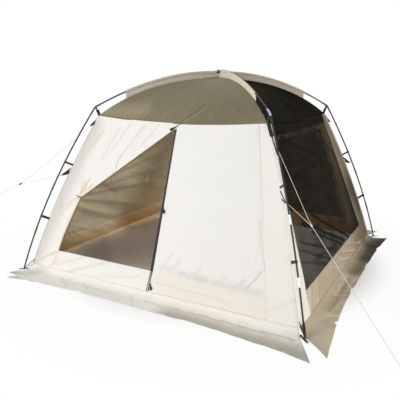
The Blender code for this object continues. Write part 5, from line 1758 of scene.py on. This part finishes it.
@dataclass
class Skirt:
    """The strip of cloth from a wall's base seam out over the ground, with its folds.

    An end is how much further its corner runs along the wall, and out from it.
    """

    side: Side
    reach: float
    long_end: Pair
    short_end: Pair
    seed: float = 61.0
    finish: Finish = SKIRT_CLOTH
    forked: bool = False
    slope_reach: float = 0.140
    hollow: float = 0.020
    fold_height: float = 0.012
    fold_count: int = 9
    crumple: float = 0.006
    fall: float = 4.0
    notches: tuple[tuple[float, float, float], ...] = ()

    def fork(self, v: float) -> float:
        """Growth along the wall of the end that lies in two points."""
        if v < 0.69:
            return 0.137 * (v / 0.69) ** 1.15
        return mix(0.137, -0.008, ease((v - 0.69) / 0.03)) + 0.049 * ease((v - 0.74) / 0.26)

    def outline(self, across: float, v: float) -> Pair:
        """Distance along the wall and out from it, flat on the ground.

        Args:
            across: -1 at the short end and 1 at the long end.
            v: 0 at the wall and 1 at the free edge.

        Returns:
            The two distances.
        """
        start_half = SHAPE.corner_half(SHAPE.base_seam) - 0.004
        growth, more = self.long_end if across > 0 else self.short_end
        along = growth * v - self.hollow * 4 * v * (1 - v)
        if self.forked and across < 0:
            along = self.fork(v)
        return across * (start_half + along * abs(across) ** 5), (self.reach + more * across**4) * v

    def raised(self, across: float, v: float, x: float, out: float) -> float:
        """How far folds and crumples lift the cloth off the ground."""
        ripple = 0.5 - 0.5 * math.cos(self.fold_count * math.pi * (across + 0.12 * math.sin(5 * across)))
        fold = self.fold_height * ripple * v * (1.4 - v)
        crumple = max(0.0, rumple(0.10, self.seed, x, out * 0.45) + 0.1)
        crumple += 0.7 * max(0.0, rumple(0.045, self.seed + 7, x + 0.5 * out, out * 0.3, 4))
        return fold + self.crumple * crumple * ease(4 * v) * mix(1.0, 0.5, v)

    def build(self) -> None:
        """Builds the skirt."""
        mirrored = self.side in (Side.RIGHT, Side.LEFT)

        def place(u: float, v: float) -> Vector:
            across = mix(-1, 1, u)
            x, out = self.outline(across, v)
            start_y = mix(SHAPE.wall_half(SHAPE.base_seam), SHAPE.corner_half(SHAPE.base_seam), across**8)
            slope = max(0.0, 1 - out / self.slope_reach)
            raised = self.raised(across, v, x, out) * ease(9 * (1 - abs(across)) + 0.15)
            height = 0.0006 + slope**self.fall * (SHAPE.base_seam + 0.004) + raised
            uneven = 0.006 * rumple(0.16, self.seed + 2, x) * v
            for spot, depth, width in self.notches:
                uneven -= depth * math.exp(-(((x - spot) / width) ** 2)) * ease(2.5 * (v - 0.6))
            clear = mix(-0.0004, 0.0016, ease(8 * v))
            return self.side.turn @ Vector((-x if mirrored else x, -(start_y + clear + out + uneven), height))

        rows = 34 if self.forked else 22
        sheet = Sheet(f"ground_skirt_{self.side.word}", self.finish, place, 200, rows, held="laid")
        hang(sheet, "tent", [f"skirt_{self.side.word}"])


@dataclass
class CornerTrim:
    """What is sewn to a corner edge: binding, pole clips, guy tabs and the strap to the elbow."""

    corner: Corner
    binding_depth: float = 0.012
    clip_heights: Pair = (0.575, 1.144)
    tab_tops: Pair = (1.607, 1.088)
    tab_depth: float = 0.075
    tip_reaches: Pair = (0.035, 0.082)
    tip_drops: Pair = (0.100, 0.085)
    hook_wall: float = 0.0030

    def build(self) -> None:
        """Builds the trim of the corner."""
        front_right = self.corner is Corner.FRONT_RIGHT
        self.binding()
        for index, height in enumerate(self.clip_heights):
            self.clip(index, height)
        for index, (top, tip) in enumerate(zip(self.tab_tops, self.tips())):
            make = self.open_tab if index == 1 and front_right else self.tab
            make(index, top, tip)
        self.elbow_strap()
        self.foot_strap()
        if front_right:
            self.band()
            self.foot_wrap()

    def tips(self) -> list[Pair]:
        """Where the two guy tabs end, as distance from the middle and height."""
        heights = [top - drop for top, drop in zip(self.tab_tops, self.tip_drops)]
        return [(SHAPE.edge_radius(h) + reach, h) for h, reach in zip(heights, self.tip_reaches)]

    def binding(self) -> None:
        """The folded tape along the corner edge."""

        def line(v: float) -> Tape:
            height = mix(SHAPE.base_seam + 0.010, SHAPE.eave_height - 0.004, v)
            radius = SHAPE.edge_radius(height) + 0.0006 + self.binding_depth / 2
            return self.spot(radius, height), self.corner.turn @ Vector((1, 0, 0)), self.binding_depth

        piece = ribbon(f"corner_trim_{self.corner.word}", line, 60, 0.0024, CREAM)
        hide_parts(f"corner_webbing_{self.corner.word}")

    def strap(
        self, name: str, start: Vector, end: Vector, width: float, waist: float = 0.15, thick: float = 0.003
    ) -> None:
        """A black strap between two points, flat in the corner's plane.

        Args:
            name: The piece's name.
            start: The end at the wall.
            end: The end at the pole, tip or foot.
            width: Width at both ends.
            waist: Share of the width that is gathered in at the middle.
            thick: Its thickness.
        """
        across = (end - start).cross(self.corner.aside).normalized()

        def line(v: float) -> Tape:
            return start.lerp(end, v), across, width * (1 - waist * math.sin(math.pi * v))

        ribbon(name, line, 8, thick, BLACK_WEBBING)

    def spot(self, radius: float, height: float, aside: float = 0.0) -> Vector:
        """A point in this corner's plane."""
        return SHAPE.at_corner(self.corner, radius, height, aside)

    def clip(self, index: int, height: float) -> None:
        """A strap with a snap hook round the leg."""
        radius, low = SHAPE.leg_radius(height), height - 0.036
        name = f"clip_{self.corner.word}_{index}"
        start = self.spot(SHAPE.edge_radius(low) + 0.004, low)
        self.strap(f"{name}_strap", start, self.spot(radius - 0.013, height - 0.004), 0.022 if index else 0.030)
        way = SHAPE.leg_way(height).normalized()
        self.hook(f"{name}_hook", Vector((radius, 0, height)), way, SHAPE.pole_radius + 0.0018, 0.020)

    def hook(self, name: str, centre: Vector, way: Vector, inner: float, tall: float) -> None:
        """An open collar that snaps round a pole."""
        turn = Vector((0, 0, 1)).rotation_difference(way).to_matrix()

        def place(u: float, v: float) -> Vector:
            angle = math.radians(mix(40, 320, u))
            radius = inner + self.hook_wall / 2 + 0.0012 * (2 * v - 1) ** 4
            spot = Vector((radius * math.cos(angle), radius * math.sin(angle), tall * (v - 0.5)))
            return self.corner.turn @ (centre + turn @ spot)

        Sheet(name, BLACK_PLASTIC, place, 24, 6, self.hook_wall).build("tent")

    def tab(self, index: int, top: float, tip: Pair) -> None:
        """A three-cornered guy tab with a narrow tip; the upper one is larger."""
        tip_half = 0.0022
        lower, higher, rise = (0.0, 0.006, 0.0) if index else (0.006, 0.014, 0.010)

        def place(u: float, v: float) -> Vector:
            height = mix(top - self.tab_depth - lower, top + higher, u)
            start = Vector((SHAPE.edge_radius(height) + 0.003, 0, height))
            end = Vector((tip[0], 0, tip[1] + rise + mix(-tip_half, tip_half, u)))
            point = start.lerp(end, v)
            point.z -= 0.003 * math.sin(math.pi * v) * (1 - u)
            point.y = 0.0012 * math.sin(2 * math.pi * u) * math.sin(math.pi * v)
            return self.corner.turn @ point

        finish = TAB_WEBBING if index else BLACK_WEBBING
        Sheet(f"guy_tab_{self.corner.word}_{index}", finish, place, 12, 12, 0.0022).build("tent")

    def open_tab(self, index: int, top: float, tip: Pair) -> None:
        """A guy tab of one strap that is bent at its tip, open in the middle."""
        for word, height, rise in (("upper", top - 0.006, 0.002), ("lower", top - self.tab_depth + 0.006, -0.002)):
            start, end = self.spot(SHAPE.edge_radius(height) + 0.003, height), self.spot(tip[0] - 0.004, tip[1] + rise)
            self.strap(f"guy_tab_{self.corner.word}_{index}_{word}", start, end, 0.014)

    def band(self) -> None:
        """The webbing down the edge below the eave, wide at first and narrow below."""

        def line(v: float) -> Tape:
            height = mix(1.372, SHAPE.eave_height - 0.002, v)
            beyond = mix(0.048, 0.030, (height - 1.521) / 0.110)
            if height < 1.521:
                beyond = mix(0.092, 0.048, (height - 1.372) / 0.149)
            radius = SHAPE.edge_radius(height) + beyond - 0.012
            return self.spot(radius, height), self.corner.aside, mix(0.012, 0.036, ease((height - 1.512) / 0.010))

        ribbon(f"edge_band_{self.corner.word}", line, 60, 0.0022, BLACK_WEBBING)

    def foot_strap(self) -> None:
        """The strap from the wall's corner down to the foot, beside the leg."""
        start = self.spot(SHAPE.edge_radius(0.100) + 0.004, 0.100)
        end = self.spot(SHAPE.foot_radius - 0.006, 0.0065, SHAPE.pole_radius + 0.0035)
        width = 0.022 if self.corner is Corner.FRONT_RIGHT else 0.007
        self.strap(f"foot_webbing_{self.corner.word}", start, end, width, 0.0, 0.0024)

    def foot_wrap(self) -> None:
        """The webbing wound round the leg just above its foot."""
        points = [self.spot(SHAPE.leg_radius(height), height) for height in (0.034, 0.062, 0.092, 0.124)]
        tube(f"foot_wrap_{self.corner.word}", points, (0.0120, 0.0132, 0.0128, 0.0110), BLACK_WEBBING)

    def elbow_strap(self) -> None:
        """The strap that hangs the eave corner from the pole's elbow."""
        start = self.spot(SHAPE.edge_radius(SHAPE.eave_height) + 0.002, SHAPE.eave_height - 0.004)
        end = self.spot(SHAPE.elbow_radius - 0.020, SHAPE.elbow_height - 0.028)
        self.strap(f"elbow_strap_{self.corner.word}", start, end, 0.034)
        centre = Vector((SHAPE.elbow_radius - 0.009, 0, SHAPE.elbow_height - 0.012))
        way, inner = Vector((-0.72, 0, 0.69)), SHAPE.ferrule_radius + 0.0022
        self.hook(f"elbow_hook_{self.corner.word}", centre, way, inner, 0.018)


@dataclass
class Frame:
    """The poles, ferrules, elbows and feet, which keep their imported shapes."""

    lower_ferrule: float = 0.424
    upper_ferrule: float = 0.887
    ferrule_half: float = 0.035
    # The legs' metal is painted by corner: the first colour is brightened as a painted glint on the front-right leg,
    # the second darkened as painted shade on the other legs, the third a painted glint on the front-right elbow's
    # bend.
    bright: Colour = (0.80, 0.82, 0.86)
    worn: Colour = (0.10, 0.10, 0.11)
    elbow: Colour = (0.50, 0.52, 0.56)

    def build(self, nodes: dict[str, Piece]) -> None:
        """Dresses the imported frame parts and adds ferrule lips, peg rings and stitches."""
        heights = {
            "lower": (self.lower_ferrule - self.ferrule_half, 1.0),
            "middle": (self.upper_ferrule - self.ferrule_half, 1.2),
            "upper": (SHAPE.elbow_height - 0.0795, 3.0),
        }
        for corner in Corner:
            word, steel = ("bright", self.bright) if corner is Corner.FRONT_RIGHT else ("worn", self.worn)
            for part, (low, high) in heights.items():
                shown = PoleFinish(f"leg_{part}_metal_{word}", steel_low=low, steel_high=high, steel=steel)
                # A narrow band of painted glint on the front-right elbow's bend.
                if part == "upper" and word == "bright":
                    shown = replace(shown, steel_low=1.694, steel_high=1.752, steel=self.elbow)
                shown.dress_part(nodes[f"leg_{part}_{corner.word}"])
            BLACK_WEBBING.dress_part(nodes[f"foot_strap_{corner.word}"])
            self.foot(corner)
            for word, height in (("lower", self.lower_ferrule), ("upper", self.upper_ferrule)):
                for end, sign in (("foot", -1), ("top", 1)):
                    self.lip(corner, f"{word}_{end}", height + sign * self.ferrule_half * 0.98)
        for name in ("roof_pole_lower", "roof_pole_upper"):
            DARK_POLE.dress_part(nodes[name])

    def lip(self, corner: Corner, word: str, height: float) -> None:
        """The rolled lip at an end of a ferrule."""
        centre = Vector((SHAPE.leg_radius(height), 0, height))
        ring = corner.turned(circle(centre, SHAPE.leg_way(height), SHAPE.ferrule_radius, 16))
        # The front-right leg's lips are bright steel; the others are darkened as painted shade.
        finish = BRIGHT_STEEL if corner is Corner.FRONT_RIGHT else SHADED_STEEL
        tube(f"ferrule_lip_{corner.word}_{word}", ring, [0.0009], finish, closed=True)

    def foot(self, corner: Corner) -> None:
        """The bright peg ring and the strap's cross stitching at a foot."""
        centre = Vector((SHAPE.foot_radius + 0.050 + 0.0096, 0, 0.0024))
        ring = corner.turned(circle(centre, Vector((0, 0, 1)), 0.012, 28))
        tube(f"peg_ring_{corner.word}", ring, [0.0023], BRIGHT_STEEL, closed=True)
        for index, radius in enumerate((2.140, 2.160, 2.222, 2.236)):
            ends = corner.turned([Vector((radius, side, 0.0022)) for side in (-0.010, 0.010)])
            tube(f"foot_stitch_{corner.word}_{index}", ends, [0.0007], CREAM_TAPE)


@dataclass
class GuyLine:
    """The guy lines at a front corner: a bridle from both tabs, a runner or knot, and the line outward."""

    corner: Corner
    end_radius: float
    runner_finish: Finish
    cord_radius: float = 0.002
    bend: float = 0.009
    gap: float = 0.0003
    webbing: float = 0.002
    passing: Pair = (0.080, 0.016)
    junction_radius: float = 2.150
    junction_height: float = 0.950
    runner_length: float = 0.034
    runner_radius: float = 0.008
    knot_radius: float = 0.005
    slope: float = -0.49

    def bridle_leg(self, tip: Pair, passing: float, junction: Vector, side: int) -> list[Vector]:
        """From the face of a tab, past the side of the pole, to the junction's loop."""
        start = Vector((tip[0] - 0.010, 0, tip[1]))
        drop = 0 if tip[1] > junction.z + self.passing[0] * 2 else -2 * self.bend
        end = Vector((junction.x - 2 * self.bend, 0, junction.z + drop))
        against = self.webbing / 2 + self.cord_radius + self.gap
        leg = [start.lerp(end, (k / 12) ** 1.6) for k in range(13)]
        for point in leg:
            point.y = mix(side * against, junction.y, min(1, (point.x - start.x) / passing))
        return leg

    def build(self, trim: CornerTrim) -> None:
        """Builds the bridle, the runner, the main line and its end."""
        word, turned = self.corner.word, self.corner.turned
        beside = SHAPE.pole_radius + self.cord_radius + 2 * self.gap
        side = 1 if self.corner is Corner.FRONT_RIGHT else -1
        junction = Vector((self.junction_radius, side * beside, self.junction_height))
        legs = [self.bridle_leg(tip, near, junction, side) for tip, near in zip(trim.tips(), self.passing)]
        centre = junction - Vector((self.bend, 0, self.bend))
        angles = [math.radians(60 - 150 * k / 8) for k in range(9)]
        loop = [centre + Vector((math.cos(a), 0, math.sin(a))) * self.bend for a in angles]
        route = turned(legs[0] + loop + legs[1][::-1])
        bridle = self.cord(f"guy_bridle_cord_{word}", route, f"guy_bridle_{word}")
        way = Vector((1, 0, self.slope)).normalized()
        start = centre + way * (self.bend + self.cord_radius + self.gap)
        runner = self.runner(start, way)
        line_start = start + way * (self.runner_length + self.gap)
        line_end = line_start + way * ((self.end_radius - line_start.x) / way.x)
        line = turned([line_start.lerp(line_end, k / 16) for k in range(17)])
        main_line = self.cord(f"guy_main_cord_{word}", line, f"guy_main_{word}")
        knot = self.end_knot(line_end, way)
        self.declare(bridle, route)
        self.declare(main_line, line)
        for index, tip in enumerate(trim.tips()):
            ring = circle(Vector((tip[0] - 0.008, side * 0.0022, tip[1])), Vector((0.3, 0, 1)), 0.0046, 12)
            tube(f"guy_tab_knot_{word}_{index}", turned(ring), [0.0018], CORD, closed=True)

    def cord(self, name: str, route: Sequence[Vector], node: str) -> Piece:
        """A cord along its route, which replaces its packed tube."""
        piece = tube(name, route, [self.cord_radius], CORD)
        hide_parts(node)
        return piece

    def declare(self, piece: Piece, route: Sequence[Vector]) -> None:
        """Logs the piece's name and the length of its route."""
        length = length_of(route)
        LOG.info("cord %s: %.3f m", piece.name, length)

    def runner(self, start: Vector, way: Vector) -> Piece:
        """The runner or knot where the bridle meets the main line."""
        shares = (0, 0.08, 0.2, 0.35, 0.5, 0.65, 0.8, 0.92, 1)
        sizes = (0.35, 0.75, 0.9, 0.82, 1.0, 0.82, 0.85, 0.6, 0.35)
        points = self.corner.turned([start + way * self.runner_length * share for share in shares])
        radii = [self.runner_radius * size for size in sizes]
        piece = tube(f"guy_runner_body_{self.corner.word}", points, radii, self.runner_finish)
        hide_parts(f"guy_runner_{self.corner.word}")
        return piece

    def end_knot(self, end: Vector, way: Vector) -> Piece:
        """The knot that ends the line."""
        shares = (-1.0, -0.7, -0.3, 0.1, 0.45, 0.7)
        sizes = (0.45, 0.95, 1.0, 0.8, 0.95, 0.5)
        points = self.corner.turned([end + way * 0.008 * share for share in shares])
        return tube(f"guy_end_knot_{self.corner.word}", points, [self.knot_radius * size for size in sizes], CORD)


@dataclass
class Studio:
    """Camera, pale floor, white surroundings and soft lamps."""

    camera_place: tuple[float, float, float] = (2.4727, -5.0017, 1.9503)
    yaw: float = math.radians(-28.442)
    pitch: float = math.radians(13.353)
    roll: float = math.radians(0.413)
    lens: float = 43.842
    sensor: float = 36.0
    sky: float = 0.44
    floor_white: float = 0.86

    def build(self) -> None:
        """Makes the camera, the surroundings and the lamps."""
        self.camera()
        self.world()
        self.floor()
        self.lamp("key", (-1.8, -8.9, 3.9), 4.0, 500.0, (1.0, 0.985, 0.96))
        self.lamp("fill", (5.2, -2.0, 0.5), 1.2, 60.0, (1.0, 0.90, 0.74))
        bpy.context.scene.view_settings.view_transform = "Standard"

    def camera(self) -> None:
        """The camera at the photograph's place and turn."""
        flat = Vector((math.sin(self.yaw), math.cos(self.yaw), 0)) * math.cos(self.pitch)
        ahead = flat - Vector((0, 0, math.sin(self.pitch)))
        right = Vector((math.cos(self.yaw), -math.sin(self.yaw), 0))
        upward = right.cross(ahead)
        turned_right = right * math.cos(self.roll) + upward * math.sin(self.roll)
        turned_up = upward * math.cos(self.roll) - right * math.sin(self.roll)
        data = bpy.data.cameras.new("camera")
        data.lens, data.sensor_width = self.lens, self.sensor
        made = link("camera", data)
        axes = Matrix((turned_right, turned_up, -ahead)).transposed().to_4x4()
        made.matrix_world = Matrix.Translation(self.camera_place) @ axes
        bpy.context.scene.camera = made

    def world(self) -> None:
        """White where the camera, a mirror or glass looks, and a plain soft level elsewhere."""
        graph = Graph(bpy.data.worlds.new("surroundings"))
        bpy.context.scene.world = graph.owner
        graph.tree.nodes.clear()
        light = graph.add("Background", (1.0, 0.995, 0.98, 1), self.sky).outputs[0]
        white = graph.add("Background", (1, 1, 1, 1), 1.0).outputs[0]
        blend = graph.add("MixShader", self.seen_directly(graph), light, white)
        graph.add("OutputWorld", blend.outputs[0])

    def seen_directly(self, graph: Graph) -> Socket:
        """Camera, glossy and transmission rays, as a share of 0 or 1."""
        path = graph.add("LightPath").outputs
        either = graph.math("MAXIMUM", path["Is Camera Ray"], path["Is Glossy Ray"])
        return graph.math("MAXIMUM", either, path["Is Transmission Ray"])

    def floor(self) -> None:
        """A wide pale floor that keeps the tent's shadow."""
        shape = bmesh.new()
        bmesh.ops.create_grid(shape, x_segments=1, y_segments=1, size=60)
        made = finish_mesh("floor", shape)
        made.location.z = -0.0005
        graph = Graph(bpy.data.materials.new("pale_floor"))
        graph.set(base_color=(self.floor_white,) * 3 + (1,), roughness=0.95, specular_ior_level=0.0)
        share = graph.math("MULTIPLY", self.seen_directly(graph), self.floor_share(graph))
        cloth = graph.tree.nodes["Principled BSDF"].outputs[0]
        glow = graph.add("Emission", strength=1.0).outputs[0]
        blend = graph.add("MixShader", share, cloth, glow)
        graph.fill(graph.tree.nodes["Material Output"].inputs[0], blend.outputs[0])
        made.data.materials.append(graph.owner)

    def floor_share(self, graph: Graph) -> Socket:
        """How much of the floor is plain white to the eye: little under the tent, all of it far away."""
        place = graph.add("TexCoord").outputs["Object"]
        away = graph.vector_math("LENGTH", place, output="Value")
        near, far = graph.ramp(away, 1.50, 2.03, 0.25, 0.94), graph.ramp(away, 2.05, 3.3, 0.0, 0.06)
        return graph.math("ADD", near, far)

    def lamp(self, name: str, place: tuple[float, float, float], size: float, power: float, colour: Colour) -> None:
        """A soft square lamp that faces the tent's middle."""
        data = bpy.data.lights.new(name, "AREA")
        data.shape, data.size = "SQUARE", size
        data.energy, data.color = power, colour
        made = link(name, data)
        made.location = place
        made.rotation_euler = (Vector((0, 0, 0.9)) - Vector(place)).to_track_quat("-Z", "Y").to_euler()


WALL_FOLDS = {
    Side.FRONT: creases(
        (-1.231, 0.172, -1.515, 0.02, 0.01, 0.008), (-1.1, 0.235, -1.27, 0.16, 0.01, 0.006),
        (-0.977, 0.05, -0.483, 0.235, 0.022, 0.012), (-1.124, 0.098, -0.794, 0.232, 0.018, -0.01),
        (-1.19, 0.11, -0.96, 0.2, 0.014, 0.01), (-0.8, 0.06, -0.3, 0.19, 0.024, -0.008),
        (-0.52, 0.075, -0.06, 0.15, 0.024, 0.007), (-1.24, 0.9, -1.1, 0.55, 0.03, 0.006),
    ),
    Side.RIGHT: creases(
        (1.1, 0.08, 0.9, 0.235, 0.016, 0.014), (0.8, 0.07, 0.74, 0.235, 0.018, 0.014),
        (0.62, 0.06, 0.5, 0.235, 0.02, -0.012), (0.3, 0.06, 0.36, 0.23, 0.018, 0.014),
        (-0.02, 0.06, 0.1, 0.23, 0.02, 0.012), (-0.34, 0.06, -0.22, 0.23, 0.022, -0.012),
        (-0.7, 0.06, -0.5, 0.23, 0.02, 0.012), (-1.02, 0.06, -0.9, 0.23, 0.018, 0.012),
        (-0.95, 0.9, -1.16, 0.2, 0.02, 0.01), (-0.98, 1.2, -1.1, 0.55, 0.014, -0.008),
        (1.02, 1.1, 1.24, 0.3, 0.02, 0.008),
    ),
}


def nets_and_covers() -> None:
    """The nets and covers of the three plain walls."""
    folds = creases(
            (0.6, 1.45, 1.0, 1.05, 0.03, 0.012), (-0.7, 0.85, 0.9, 0.45, 0.045, 0.012),
            (-0.6, 0.7, 1.0, 0.36, 0.04, -0.01), (-0.9, 0.42, 0.5, 0.26, 0.03, 0.008),
    )
    NetPanel("net_right", Side.RIGHT, ["right_net"], 9.0, NET_SIDE, folds=folds).build()
    NetPanel("net_back", Side.BACK, ["back_net"], 13.0).build()
    NetPanel("net_left", Side.LEFT, ["left_net"], 17.0).build()
    Cover(Side.BACK, 23.0).build()
    Cover(Side.LEFT, 27.0).build()
    StowedCover().build()


def skirts() -> None:
    """The four ground skirts; a notch in one is its place, depth and width."""
    front_notches = ((-1.143, 0.030, 0.018), (-0.62, 0.016, 0.05), (0.55, 0.012, 0.08))
    right_notches = ((1.142, 0.030, 0.020), (0.40, 0.014, 0.06), (-0.40, 0.012, 0.08), (-1.05, 0.016, 0.05))
    front = Skirt(Side.FRONT, 0.250, (0.206, 0.125), (0.090, 0.085), finish=SKIRT_FRONT, crumple=0.012)
    replace(front, forked=True, hollow=0.0, notches=front_notches).build()
    Skirt(Side.BACK, 0.250, (0.206, 0.125), (0.090, 0.085), 63.0).build()
    Skirt(Side.LEFT, 0.182, (0.262, 0.108), (0.020, -0.100), 64.0).build()
    right = Skirt(Side.RIGHT, 0.182, (0.262, 0.108), (0.073, 0.064), 62.0, RIGHT_SKIRT_SHADE, crumple=0.013)
    replace(right, notches=right_notches).build()


def main() -> None:
    """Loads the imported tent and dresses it."""
    logging.basicConfig(level=logging.INFO, format="%(name)s: %(message)s")
    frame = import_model()
    Studio().build()
    trims = {corner: CornerTrim(corner) for corner in Corner}
    GuyLine(Corner.FRONT_LEFT, 2.450, BLACK_PLASTIC).build(trims[Corner.FRONT_LEFT])
    GuyLine(Corner.FRONT_RIGHT, 3.340, CORD).build(trims[Corner.FRONT_RIGHT])
    Frame().build(frame["nodes"])
    for trim in trims.values():
        trim.build()
    LOG.info("frame, cords and corner trim are done")
    walls = [WallDress(side, WALL_FOLDS.get(side, ()), 1.0 + index) for index, side in enumerate(Side)]
    for wall in walls:
        wall.build()
    FrontDoor().build(walls[0])
    LOG.info("walls and front door are done")
    nets_and_covers()
    Roof().build()
    skirts()
    LOG.info("covers, roof and skirts are done")


if __name__ == "__main__":
    main()
